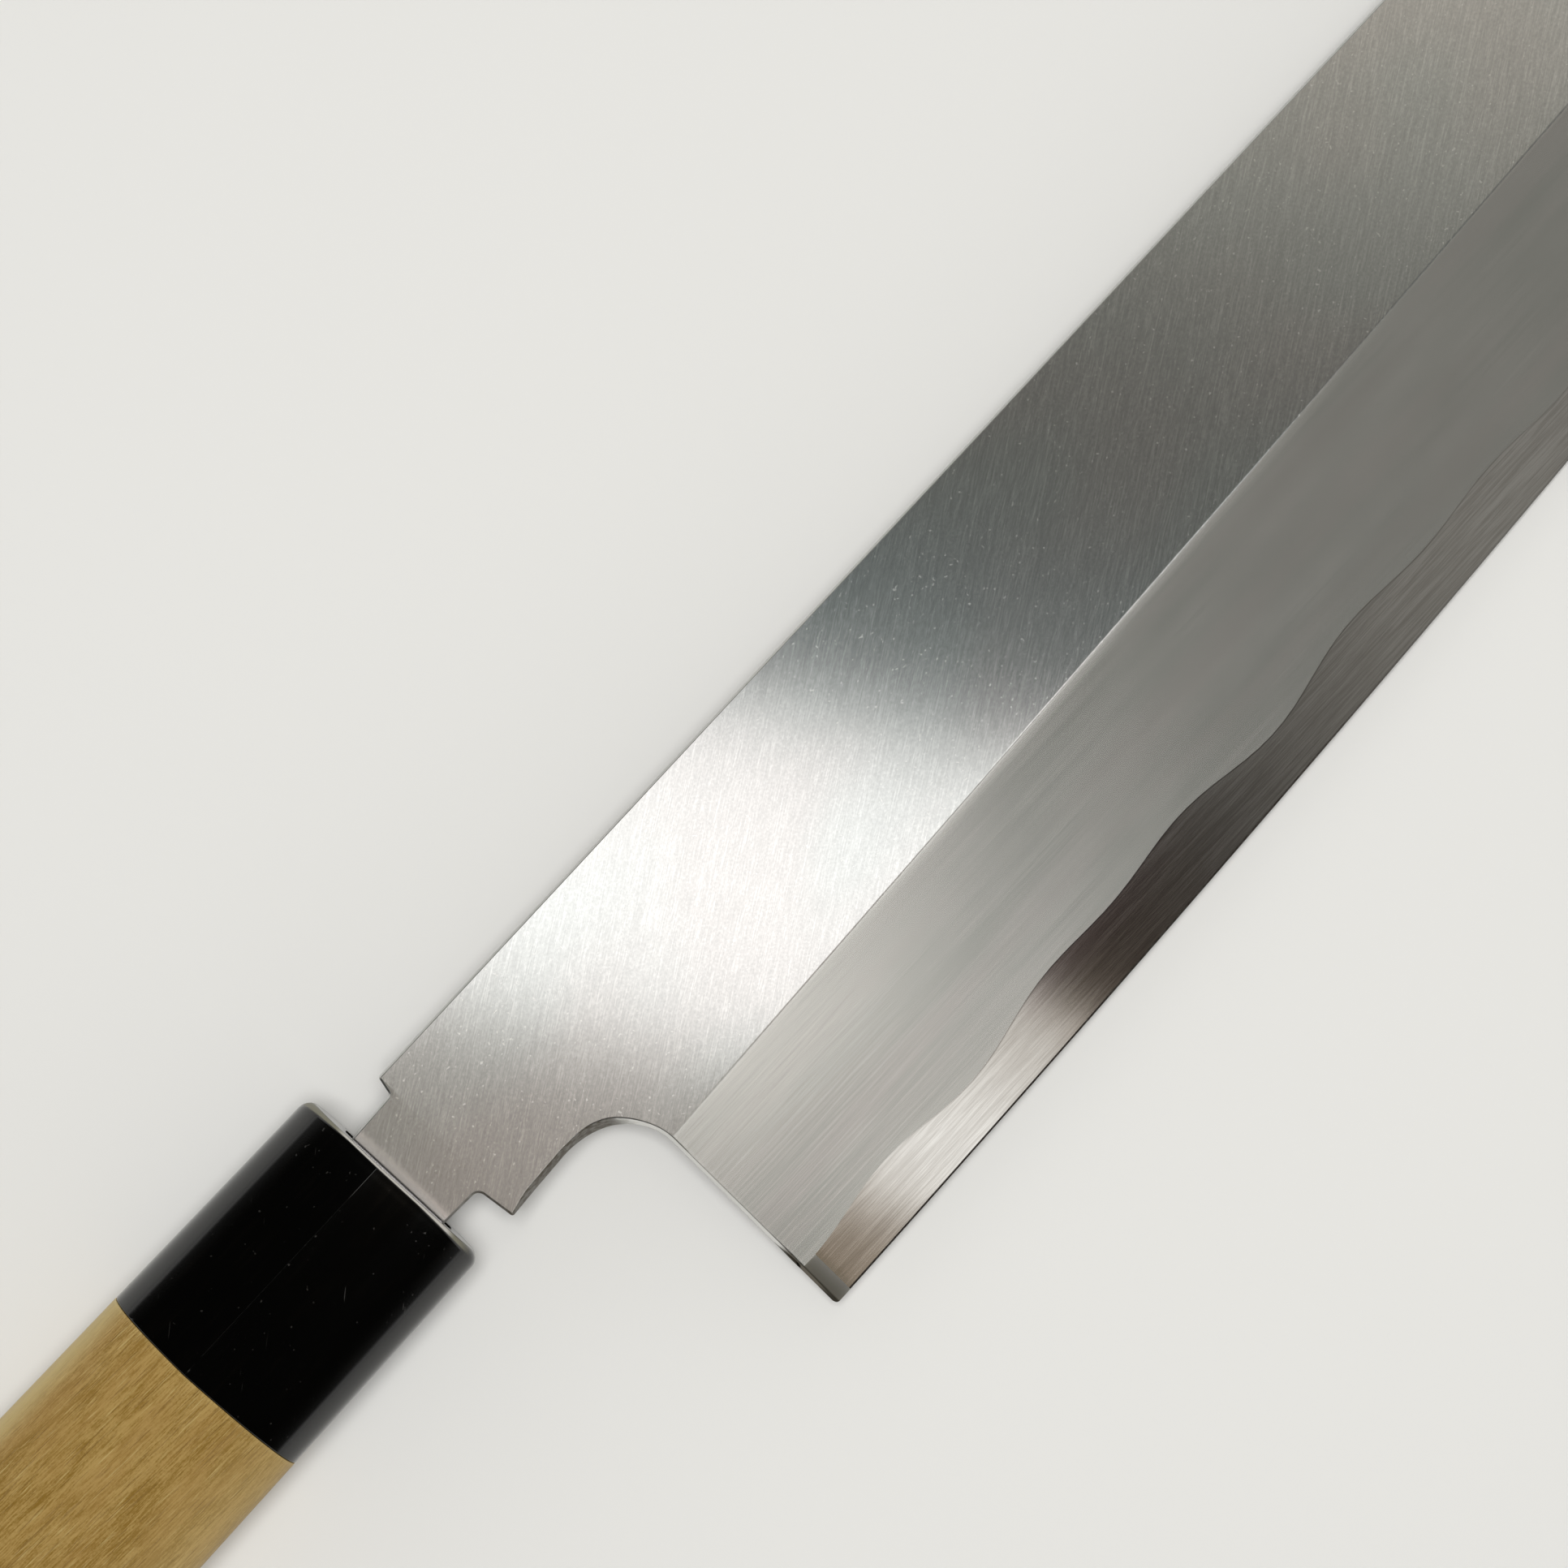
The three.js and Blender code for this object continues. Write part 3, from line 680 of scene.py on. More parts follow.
class BladeShape:
    """Lines, heights and point rows of the blade."""

    # Waves of the weld line: length, swing and shift in millimetres
    waves = ((78, 0.65, 20.3), (44, 0.45, -15.7), (25, 0.56, 0.9), (65, 0.45, -32.75))

    # Steps of a slope from its outside in, and how softly each slope turns into the flat
    profile = np.array([0.0, 0.2, 0.4, 0.6, 0.72, 0.80, 0.88, 0.94, 1.0])
    corner_soft, heel_soft, notch_soft = 0.5, 0.2, 0.11

    # Depth of the rounded corners over their width
    corner_depth = 1.3

    # Parts of the notch's slope with the x in millimetres over which each grows, where all end, and
    # where the heel's slope begins
    notch_grinds = ((0.65, (-1.7, 2.4)), (0.35, (8.0, 12.0)))
    notch_grind_end = (12.6, 16.4)
    heel_slope_start = (8.0, 16.0)

    # Powers of the spine's fall, of the sweep of edge and ridge up to the tip and of its thinning
    spine_power, sweep_power, thinning_power = 4, 9, 6

    # Share of the back's width that is hollow
    hollow_share = 0.88

    # Least width of the bevel, towards the tip
    least_width = 0.3 * MM

    # Radii in the corners of the shoulders: inside above and below, and outside
    tight, wide, outer = 0.5 * MM, 1.0 * MM, 0.3 * MM

    # Points on the spine opposite the notch's start and the heel line
    spine_notch, spine_heel = 18 * MM, 46 * MM

    # Columns along tang, neck and notch, the first ones beyond the heel in millimetres, and the
    # number of others with how they crowd
    tang_columns, neck_columns, notch_columns = 8, 9, 25
    first_columns = np.array([0.15, 0.4, 0.75, 1.2, 1.9, 2.8, 4.0])
    other_columns, crowding = 164, 1.25

    # Rows across the seam and the back
    rows = 11

    # Parts of the blade's thickness that the facet and the slope at the heel can take
    facet_room, slope_room = 0.4, 0.45

    def __init__(self, sizes):
        self.s = s = sizes
        self.back = -s.spine_thickness / 2
        self.heel = np.array([s.heel_setback - s.heel_lean, s.spine_height - s.blade_height])
        self.corner = np.array([s.heel_setback, s.spine_height - s.flat_height])
        self.tip_spine = s.spine_height - s.spine_drop
        self.bevel_width = s.blade_height - s.flat_height
        self.lay_out()

    def spine(self, x):
        reach = np.maximum(0.0, x / self.s.blade_length)
        return self.s.spine_height - self.s.spine_drop * reach**self.spine_power

    def swept(self, x, start, end_height, taper, belly):
        """Height of a line that rises from its start to the tip, most of all at its end."""
        t = np.clip((x - start[0]) / (self.s.blade_length - start[0]), 0.0, 1.0)
        sweep = self.tip_spine - end_height - start[1] - taper - belly
        return start[1] + taper * t + belly * t**2 + sweep * t**self.sweep_power

    def edge(self, x):
        s = self.s
        return self.swept(x, self.heel, s.tip_height, s.edge_taper, s.edge_belly)

    def ridge(self, x):
        return self.swept(x, self.corner, self.s.tip_height / 2, self.s.flat_taper, 0.0)

    def tang_share(self, x):
        reach = self.s.tang_length - self.s.shoulder_slant
        return np.clip(-(x + self.s.shoulder_slant) / reach, 0.0, 1.0)

    def thickness(self, x):
        s = self.s
        t = np.maximum(0.0, x / s.blade_length)
        full = s.spine_thickness - s.distal_taper * t - s.tip_thinning * t**self.thinning_power
        thinned = np.clip((x + s.tang_flush) / (s.tang_flush - s.tang_length), 0.0, 1.0)
        return full - (s.spine_thickness - s.tang_end_thickness) * thinned

    def front(self, x):
        """Height of the flat, and of the tang's upper face."""
        return np.where(x < 0, self.thickness(x) / 2, self.back + self.thickness(x))

    def under(self, x):
        """Height of the tang's lower face, and of the back beyond it."""
        return np.where(x < 0, -self.thickness(x) / 2, self.back)

    def steel_part(self, x):
        """Share of the bevel, from the edge, on which the hard steel shows."""
        show = self.s.steel_show / MM
        for size, swing, shift in self.waves:
            show = show + swing * np.sin(2 * np.pi * (x / MM + shift) / size)
        return show * MM / self.bevel_width

    def hollow(self, plan):
        """Points of the back face, hollow between narrow flat rims."""
        s = self.s
        x, y = plan[..., 0], plan[..., 1]
        across = (self.spine(x) - y) / np.maximum(self.spine(x) - self.edge(x), 1e-6)
        bow = np.maximum(0.0, 1 - ((2 * across - 1) / self.hollow_share) ** 2)
        starting = smooth_step(x, s.hollow_start, s.hollow_start + s.hollow_ramp)
        ending = 1 - smooth_step(x, s.hollow_end - s.hollow_ramp, s.hollow_end)
        return raised(plan, self.back + s.hollow_depth * bow * starting * ending)

    def lay_out(self):
        """Upper and lower lines of the neck and flat, with the widths of their slopes."""
        s = self.s
        tight, wide, outer = self.tight, self.wide, self.outer
        tang_middle = s.tang_top - s.tang_width / 2
        tang_low = s.tang_top - s.tang_width
        neck_low = s.spine_height - s.neck_depth
        inner_top = -s.shoulder_step
        inner_low = -s.shoulder_slant - s.shoulder_step
        tang_x = np.linspace(-s.tang_length, inner_low - wide, self.tang_columns + 1)[:-1]
        half = lerp(s.tang_width, s.tang_end_width, self.tang_share(tang_x)) / 2
        shoulder_top = join(
            arc((inner_top - tight, s.tang_top + tight), tight, -90, 0),
            arc((outer, s.spine_height - outer), outer, 180, 90),
        )
        shoulder_low = join(
            arc((inner_low - wide, tang_low - wide), wide, 90, 0),
            arc((outer - s.shoulder_slant, neck_low + outer), outer, 180, 270),
        )

        # Neck and notch, and the points of the spine opposite them
        notch = np.array([s.notch_start, neck_low + s.notch_rise])
        neck = np.linspace(0, 1, self.neck_columns + 1)[1:]
        reach, rise = s.heel_setback - notch[0], notch[1] - self.corner[1]
        last = np.arccos(np.array([1.0, 0.5]) * s.ridge_round / rise)
        turn = np.linspace(0, last[0], self.notch_columns + 1)[1:]
        turn = join(turn, last[1:], [np.pi / 2])
        notch_line = pairs(notch[0] + reach * np.sin(turn), self.corner[1] + rise * np.cos(turn))
        notch_steps = np.arange(1, len(turn) + 1) / len(turn)
        first = self.first_columns * MM / s.blade_length
        steps = np.linspace(0, 1, self.other_columns + 1)[1:]
        main = first[-1] + (1 - first[-1]) * (1 - (1 - steps) ** self.crowding)
        shares = join([0.0], first, main)
        spine_x = join(
            lerp(outer, self.spine_notch, neck),
            lerp(self.spine_notch, self.spine_heel, notch_steps),
            lerp(self.spine_heel, s.blade_length, shares[1:]),
        )
        self.upper = join(
            pairs(tang_x, tang_middle + half), shoulder_top, pairs(spine_x, self.spine(spine_x))
        )
        self.lower = join(
            pairs(tang_x, tang_middle - half),
            shoulder_low,
            lerp(shoulder_low[-1], notch, neck[:, None]),
            notch_line,
        )
        self.turn_column = len(self.lower) - 1
        upper_x, lower_x = self.upper[:, 0], self.lower[:, 0]
        self.first_steel = np.nonzero(lower_x <= s.steel_start)[0][-1]

        # Width and depth of the slope along each line, narrower at the tip and wide along the notch
        self.upper_width = s.corner_round * self.room(upper_x, 4 * MM, 0.05)
        self.upper_depth = self.corner_depth * self.upper_width

        def grown(ends):
            return smooth_step(lower_x, ends[0] * MM, ends[1] * MM)

        ground = sum(part * grown(ends) for part, ends in self.notch_grinds)
        ground *= 1 - grown(self.notch_grind_end)
        heel = grown(self.heel_slope_start)

        def blend(corner, at_heel, at_notch):
            return lerp(lerp(corner, at_heel, heel), at_notch, ground)

        corner_depth = self.corner_depth * s.corner_round
        self.lower_width = blend(s.corner_round, s.heel_slope, s.notch_slope)
        self.lower_depth = blend(corner_depth, s.heel_slope_depth, s.notch_slope_depth)
        self.lower_soft = blend(self.corner_soft, self.heel_soft, self.notch_soft)
        self.upper_in = inward_normals(self.upper, -1)
        self.lower_in = inward_normals(self.lower, 1)
        self.lower_in[-1] = (1.0, 0.0)

        # Ridge and edge of the blade columns, the first one at the inside of the heel's slope
        ridge_x = lerp(s.heel_setback + s.heel_slope, s.blade_length, shares)
        edge_x = lerp(self.heel[0] + s.heel_slope, s.blade_length, shares)
        self.ridge_line = pairs(ridge_x, self.ridge(ridge_x))
        self.edge_line = pairs(edge_x, self.edge(edge_x))
        self.ridge_line[0] = self.corner + (s.heel_slope, 0.0)
        self.steel = self.steel_part(edge_x)

    def drop(self, depth, soft):
        """Drop below the flat of each step of a slope, which turns in softly at its top."""
        f = self.profile[:, None]
        bend = np.where(f > 1 - 2 * soft, (1 - f) ** 2 / (4 * soft), 1 - soft - f)
        return depth * bend / (1 - soft)

    def slope(self, line, inward, width):
        """Plan points of the slope along a line, from the outside in."""
        return line + inward * (self.profile[:, None] * width)[..., None]

    def eased(self, below):
        """Distance below the ridge, eased over the ridge's rounding."""
        width = self.s.ridge_round
        curve = (below + width) ** 2 / (4 * width)
        return np.where(below < -width, 0.0, np.where(below > width, below, curve))

    def flat_at(self, plan):
        """Points of the flat, falling off over the rounding of the ridge."""
        x, y = plan[..., 0], plan[..., 1]
        below = np.where(x < self.corner[0] - 1 * MM, -1.0, self.ridge(x) - y)
        scale = self.ridge_scale(x)
        tilt = (self.thickness(x) - self.s.edge_land) / self.width(self.ridge(x), self.edge(x))
        return raised(plan, self.front(x) - tilt * scale * self.eased(below / scale))

    def room(self, x, enough, least):
        """1 where the flat is high enough, and less where it runs out at the tip."""
        return np.clip((self.spine(x) - self.ridge(x)) / enough, least, 1.0)

    def ridge_scale(self, x):
        """The ridge's rounding shrinks towards the tip."""
        return self.room(x, 8 * MM, 0.04)

    def width(self, ridge, edge):
        """Width of the bevel between the heights of ridge and edge."""
        return np.maximum(ridge - edge, self.least_width)

    def bevel(self, ridge, edge, down):
        """Points of the bevel, from the ridge at 0 to the edge at 1, and their way down it."""
        plan = lerp(ridge, edge, down[..., None])
        scale = self.ridge_scale(ridge[..., 0])
        width = self.width(ridge[..., 1], edge[..., 1])
        below = down * width / scale
        eased = self.eased(below) * scale / width
        fall = np.where(below < self.s.ridge_round, eased, down)
        height = self.back + lerp(self.thickness(ridge[..., 0]), self.s.edge_land, fall)
        return raised(plan, height), down * width

    def iron_downs(self, steel, width, scale):
        """Rows of the iron's bevel, from the ridge to the weld."""
        near = np.array([0.0, 0.5, 1.0])[:, None] * self.s.ridge_round * scale / width
        rows = np.array([0.12, 0.3, 0.5, 0.7, 0.88, 0.97, 1.0])[:, None]
        return join(near, lerp(near[-1], 1 - steel, rows))

    def steel_downs(self, steel, width, lift):
        """Rows of the steel's bevel, from the weld to the fine bevel and the edge."""
        end = 1 - lift / width
        fine = end - np.minimum(self.s.fine_bevel / width, steel / 3)
        main = lerp(1 - steel, fine, np.array([0.0, 0.04, 0.2, 0.45, 0.7, 0.9, 1.0])[:, None])
        return join(main, np.broadcast_to(end, main.shape[1:])[None])

    def lift(self, x):
        """How far the heel's rounding lifts the edge."""
        radius = self.s.heel_round
        inside = np.clip(radius - (x - self.heel[0]), 0.0, radius)
        return radius - np.sqrt(radius**2 - inside**2)

    def ground_down(self, rows, beyond):
        """Lowers the edge by the fine bevel, and the steel by the facet at the heel.

        The facet begins below the weld and takes less where the steel is thin.
        """
        rows[-1, ..., 2] -= self.s.fine_bevel_drop
        near = np.clip(1 - beyond / self.s.heel_facet, 0.0, 1.0)
        easing = np.array([0.0, 0.25, 0.8] + [1.0] * (len(rows) - 3))[:, None]
        room = self.facet_room * (rows[..., 2] - self.back)
        rows[..., 2] -= np.minimum(self.s.heel_facet_drop * near * easing, room)

    def seam(self, x, steel, rise):
        return self.back + rise * lerp(self.s.edge_land, self.thickness(x), steel)


# Finishes by their place among a mesh's materials, first those of the iron, then those of the steel
FLAT, BEVEL, SIDE = 0, 1, 2
STEEL, BACK, EDGE = 0, 1, 3

# Edges of a piece are sharp past these angles
IRON_CREASE, STEEL_CREASE, GRIP_CREASE = (math.radians(angle) for angle in (50, 20, 45))


def build_blade(scene):
    """The iron body and the hard steel of the blade."""
    sizes, finish = scene.honekiri_blade, scene.honekiri_finish
    b = BladeShape(sizes)
    turn = b.turn_column
    count = len(b.upper)
    first = b.first_steel

    # Slopes along the upper line, the lower line and the heel
    upper_plan = b.slope(b.upper, b.upper_in, b.upper_width)
    upper_top = b.front(upper_plan[..., 0])
    upper_rim = raised(upper_plan, upper_top - b.drop(b.upper_depth, b.corner_soft))
    lower_plan = b.slope(b.lower, b.lower_in, b.lower_width)
    lower_rim = b.flat_at(lower_plan)
    lower_rim[..., 2] -= b.drop(b.lower_depth, b.lower_soft)
    inset = (b.profile * sizes.heel_slope)[:, None]
    heel_ridge = pairs(b.corner[0] + inset, b.corner[1])
    heel_edge = pairs(b.heel[0] + inset, b.heel[1])
    steel0 = b.steel[0]
    width0 = b.bevel_width
    iron_rows0 = b.iron_downs(np.array([steel0]), width0, 1.0)[:, 0]
    iron_rows0 = np.broadcast_to(iron_rows0, (len(inset), len(iron_rows0)))
    heel_iron, _ = b.bevel(heel_ridge, heel_edge, iron_rows0)
    heel_lift = b.lift(heel_edge[..., 0])[:, 0]
    steel_rows0 = b.steel_downs(np.full(len(inset), steel0), width0, heel_lift).T
    heel_steel, _ = b.bevel(heel_ridge, heel_edge, steel_rows0)
    b.ground_down(np.swapaxes(heel_steel, 0, 1), inset[:, 0] - sizes.heel_slope)
    for rim in (heel_iron, heel_steel):
        room = b.slope_room * (rim[0, :, 2] - b.back)
        depth = np.minimum(sizes.heel_slope_depth, room)
        rim[..., 2] -= b.drop(depth, b.heel_soft)

    # Flat: rows from the inside of the upper slope to the inside of the lower slope or the ridge
    upper_inside = upper_plan[-1]
    lower_inside = join(lower_plan[-1], b.ridge_line[1:])
    reach = np.linalg.norm(lower_inside - upper_inside, axis=1)
    near = sizes.ridge_round * b.ridge_scale(lower_inside[:, 0]) / reach
    rows = np.array([0.0, 0.12, 0.3, 0.5, 0.7, 0.88, 1.0])[:, None]
    amounts = join(rows * (1 - near), [1 - near / 2, np.ones(count)])
    flat = b.flat_at(lerp(upper_inside, lower_inside, amounts[..., None]))
    flat[0] = upper_rim[-1]
    flat[-1, : turn + 1] = lower_rim[-1]

    # Bevel: iron from the ridge to the weld, steel from the weld to the edge
    wide = b.width(b.ridge_line[:, 1], b.edge_line[:, 1])
    iron_rows = b.iron_downs(b.steel, wide, b.ridge_scale(b.ridge_line[:, 0]))
    iron_bevel, iron_below = b.bevel(b.ridge_line, b.edge_line, iron_rows)
    iron_weld = (1 - b.steel) * wide - iron_below
    iron_bevel[0] = flat[-1, turn:]
    iron_bevel[:, 0] = heel_iron[-1]
    lower_rim[:, -1] = heel_iron[:, 0]
    flat[-1, turn] = heel_iron[-1, 0]
    steel_rows = b.steel_downs(b.steel, wide, b.lift(b.edge_line[:, 0]))
    steel_bevel, steel_below = b.bevel(b.ridge_line, b.edge_line, steel_rows)
    steel_weld = steel_below - (1 - b.steel) * wide
    beyond = b.edge_line[:, 0] - b.edge_line[0, 0]
    b.ground_down(steel_bevel, beyond)
    facet_end = np.nonzero(beyond <= sizes.heel_facet * 1.01)[0][-1]
    steel_bevel[:, 0] = heel_steel[-1]
    steel_bevel[0] = iron_bevel[-1]
    heel_steel[:, 0] = heel_iron[:, -1]

    # Weld seam inside the blade, and the underside of the tang
    low_x = join(b.lower[:, 0], b.ridge_line[1:, 0])
    rise = smooth_step(low_x, sizes.steel_start, sizes.steel_start + sizes.steel_ramp)
    steel = join(np.full(turn, steel0), b.steel)

    def seam_line(line, steel):
        x = line[:, 0]
        seam = b.seam(x, steel, rise[: len(line)])
        return raised(line, np.where(np.arange(len(line)) <= first, b.under(x), seam))

    upper_low = seam_line(b.upper, steel)
    lower_low = seam_line(b.lower, steel0)
    heel_low = heel_iron[0].copy()
    heel_low[:, 2] = lower_low[-1, 2]
    heel_low[-1] = heel_iron[0, -1]
    lower_low[-1] = heel_low[0]
    pivot = np.repeat(upper_low[turn][None], len(heel_low) + len(inset) - 2, axis=0)
    seam_top = join(upper_low[: turn + 1], pivot, upper_low[turn + 1 :])
    seam_base = join(lower_low, heel_low[1:], heel_iron[1:, -1], iron_bevel[-1, 1:])
    across = np.linspace(0, 1, b.rows)[:, None, None]
    seam = lerp(seam_top, seam_base, across)

    iron = Skin("iron_body")
    iron.patch(flat, FLAT)
    for grid in (upper_rim, lower_rim, heel_iron):
        iron.patch(grid, SIDE)
    iron.patch(iron_bevel, BEVEL, iron_weld, iron_below)
    for rim, low in ((upper_rim, upper_low), (lower_rim, lower_low), (heel_iron, heel_low)):
        iron.patch(np.stack([rim[0], low]), SIDE)
    iron.patch(seam, SIDE)
    iron.face(join(upper_rim[:, -1], flat[1:, -1], iron_bevel[1:, -1], seam[-2::-1, -1]), SIDE)
    iron.face(join(upper_rim[:, 0], flat[1:, 0], lower_rim[-2::-1, 0], seam[::-1, 0]), SIDE)

    # Hard steel: the hidden seam, the strip along the edge, the sides and the hollow back
    upper_back = b.hollow(b.upper[first:])
    neck_back = b.hollow(lerp(b.upper[first : turn + 1], b.lower[first:], across))
    heel_out = join(heel_iron[0], heel_steel[0, 1:])[:, :2]
    blade_ridge = join(b.corner[None], b.ridge_line)
    blade_upper = join(b.upper[turn][None], b.upper[turn:])
    top_plan = lerp(blade_upper, blade_ridge, across)
    bevel_plan = join(iron_bevel[..., :2], steel_bevel[1:, :, :2])
    low_plan = np.concatenate([heel_out[:, None], bevel_plan], axis=1)
    blade_back = b.hollow(join(top_plan, low_plan[1:]))
    blade_back[-1, :, 2] = b.back
    rim_under = heel_steel[:, -1].copy()
    rim_under[:, 2] = b.back
    heel_top = join(heel_low, heel_steel[0, 1:])

    hard = Skin("steel_edge")
    hard.patch(seam[:, first:], SIDE)
    hard.patch(steel_bevel[:, : facet_end + 1], SIDE, steel_weld[:, : facet_end + 1])
    hard.patch(steel_bevel[:-1, facet_end:], STEEL, steel_weld[:-1, facet_end:])
    hard.patch(steel_bevel[-2:, facet_end:], EDGE)
    hard.patch(heel_steel, SIDE)
    for top, low in (
        (upper_low[first:], upper_back),
        (lower_low[first:], neck_back[-1]),
        (heel_top, blade_back[len(across) - 1 :, 0]),
        (heel_steel[:, -1], rim_under),
        (steel_bevel[-1], blade_back[-1, 1:]),
    ):
        hard.patch(np.stack([top, low]), SIDE)
    hard.patch(neck_back, BACK)
    hard.patch(blade_back, BACK)
    hard.face(rim_under, BACK)
    hard.face(join(blade_back[:, -1], steel_bevel[::-1, -1], seam[-2::-1, -1]), SIDE)

    place = knife_place(scene)
    finishes = [flat_material(finish), bevel_material(finish), side_material(finish)]
    iron_piece = iron.make(finishes, place, IRON_CREASE)
    side = finishes[SIDE]
    finishes = [steel_material(finish), back_material(finish), side, edge_material(finish)]
    steel_piece = hard.make(finishes, place, STEEL_CREASE, True)

    # The gloss is drawn out across the brush lines: a mesh's glossy tangent turns round the middle
    # of its texture space, so that is set far back along the lines
    far = 100
    for piece, angle in ((iron_piece, BRUSH_ANGLE), (steel_piece, 0.0)):
        piece.data.use_auto_texspace = False
        piece.data.texspace_location = (-far * math.cos(angle), -far * math.sin(angle), 0.0)
        piece.data.texspace_size = (1.0, 1.0, 1.0)
    return iron_piece, steel_piece


class GripShape:
    """Rings of points round the grip."""

    # Steps along each facet from its side, how they crowd, and two more that blunt the ridge
    steps, crowding = 32, 0.9
    ridge_steps = (0.9985, 0.99985)
    ridge_blunt = 0.0004 * MM

    # Height over the section's thickness from which a rim has its rounding of the top
    rim_level = 0.45

    # How the points of the section are shared out round the slot, and how square its corners are
    slot_squash, slot_power = 0.42, 12.0

    # Rings of the ferrule's rim, of each side of the joint and of the butt's rim
    rim_rings, joint_rings, butt_rings = 8, 4, 9

    def __init__(self, sizes, blade):
        self.s = sizes
        self.blade = blade
        self.front = -sizes.neck_gap
        self.butt = self.front - sizes.grip_length
        self.ferrule_back = self.front - sizes.ferrule_length
        self.socket = self.front - sizes.ferrule_front_wall

    def ring(self, x, inset=0.0):
        """D section at x: half an ellipse below, and two low facets up to a softened ridge."""
        s = self.s
        reach = (self.front - x) / s.grip_length
        half = lerp(s.front_width, s.butt_width, reach) / 2 - inset
        thick = lerp(s.front_thickness, s.butt_thickness, reach) / 2 - inset
        crest = thick + s.ridge_rise
        bulge = crest * s.ridge_fullness
        ridge = np.array([s.ridge_offset, crest])
        t = join(np.linspace(0, 1, self.steps + 1)[:-1] ** self.crowding, self.ridge_steps)[:, None]

        def facet(side):
            first, control = np.array([side, 0.0]), np.array([side, bulge])
            return (1 - t) ** 2 * first + 2 * t * (1 - t) * control + t**2 * ridge

        top = ridge - (0.0, self.ridge_blunt)
        angle = np.linspace(np.pi, 2 * np.pi, 2 * self.steps + 1)[1:-1]
        low = pairs(half * np.cos(angle), thick * np.sin(angle))
        section = join(facet(half), top[None], facet(-half)[::-1], low)
        return np.insert(section, 0, x, axis=1)

    def rim(self, end, radius, way, count, side=None):
        """Rings of a rounded rim from the end face, with a radius of its own at the sides."""
        section = self.ring(end)
        full = self.rim_level * self.s.front_thickness
        level = np.clip(np.abs(section[:, 2:]) / full, 0.0, 1.0)

        def ring(r, turn):
            return self.ring(end + way * r * (1 - np.cos(turn)), r * (1 - np.sin(turn)))

        turns = np.linspace(0, np.pi / 2, count)
        return [lerp(ring(side or radius, turn), ring(radius, turn), level) for turn in turns]

    def leaned(self, ring):
        """A ring of the front, set so that the front leans out towards its top."""
        return ring + self.s.front_lean * ring[:, 2:] * (1.0, 0.0, 0.0)

    def slot(self, x, end_gap, face_gap):
        """Ring of a hole for the tang with rounded corners, with as many points as the section."""
        b = self.blade
        reach = (x + b.shoulder_slant) / (b.shoulder_slant - b.tang_length)
        half = lerp(b.tang_width, b.tang_end_width, reach) / 2 + end_gap
        thick = lerp(b.spine_thickness, b.tang_end_thickness, reach) / 2 + face_gap
        middle = b.tang_top - b.tang_width / 2
        section = self.ring(self.front)
        angle = np.arctan2(section[:, 2], section[:, 1] * self.slot_squash)
        cosine, sine = np.cos(angle), np.sin(angle)
        power = self.slot_power
        size = (np.abs(cosine / half) ** power + np.abs(sine / thick) ** power) ** (-1 / power)
        return np.insert(pairs(middle + size * cosine, size * sine), 0, x, axis=1)

    def stretch(self, start, end, count):
        """Rings of the full section between two places."""
        return [self.ring(x) for x in np.linspace(start, end, count + 2)[1:-1]]


def between(first, last, amounts):
    """Rings between two others."""
    return [lerp(first, last, amount) for amount in amounts]


def loft(skin, rings, ends=(None, None), gaps=1.0):
    """Quads between rings of points, and a fan to a middle point at each end that has one."""
    grid = np.stack(rings)
    grid = np.concatenate([grid, grid[:, :1]], axis=1)
    for ring, end in ((grid[:1], ends[0]), (grid[-1:], ends[1])):
        if end is not None:
            skin.patch(join(ring, np.broadcast_to(end, ring.shape)))
    skin.patch(grid, gap=np.broadcast_to(gaps, (len(rings),))[:, None])


def build_ferrule(scene):
    """A horn cup with a slot for the tang in its front and a socket behind."""
    s = scene.honekiri_grip
    g = GripShape(s, scene.honekiri_blade)
    slot_front = g.slot(g.front, s.slot_slack, s.slot_mouth)
    throat = g.slot(g.front - s.slot_mouth, s.slot_slack, s.fit_gap)
    slot_back = g.slot(g.socket, s.slot_slack, s.fit_gap)
    rim = g.rim(g.front, s.rim_round, -1, g.rim_rings, s.rim_side_round)
    joint = g.rim(g.ferrule_back, s.joint_round, 1, g.joint_rings)
    front = [slot_front] + between(slot_front, rim[0], (0.05, 0.3, 0.6, 0.85)) + rim
    front = [g.leaned(ring) for ring in front]
    sides = g.stretch(g.front - s.rim_side_round, g.ferrule_back + s.joint_round, 8)
    rings = front + sides + joint[::-1]
    rings += [g.ring(g.ferrule_back, s.ferrule_wall), g.ring(g.socket, s.ferrule_wall)]
    rings += [slot_back, throat, front[0]]

    # The painted highlight of the rim lies round the middle of its rounding
    gaps = np.ones(len(rings))
    middle = 0.8
    turns = np.linspace(0, np.pi / 2, len(rim))
    gaps[len(front) - len(rim) : len(front)] = s.rim_round * np.abs(turns - middle)
    skin = Skin("horn_ferrule")
    loft(skin, rings, gaps=gaps)
    return skin.make([horn_material(scene.honekiri_finish)], knife_place(scene), GRIP_CREASE)


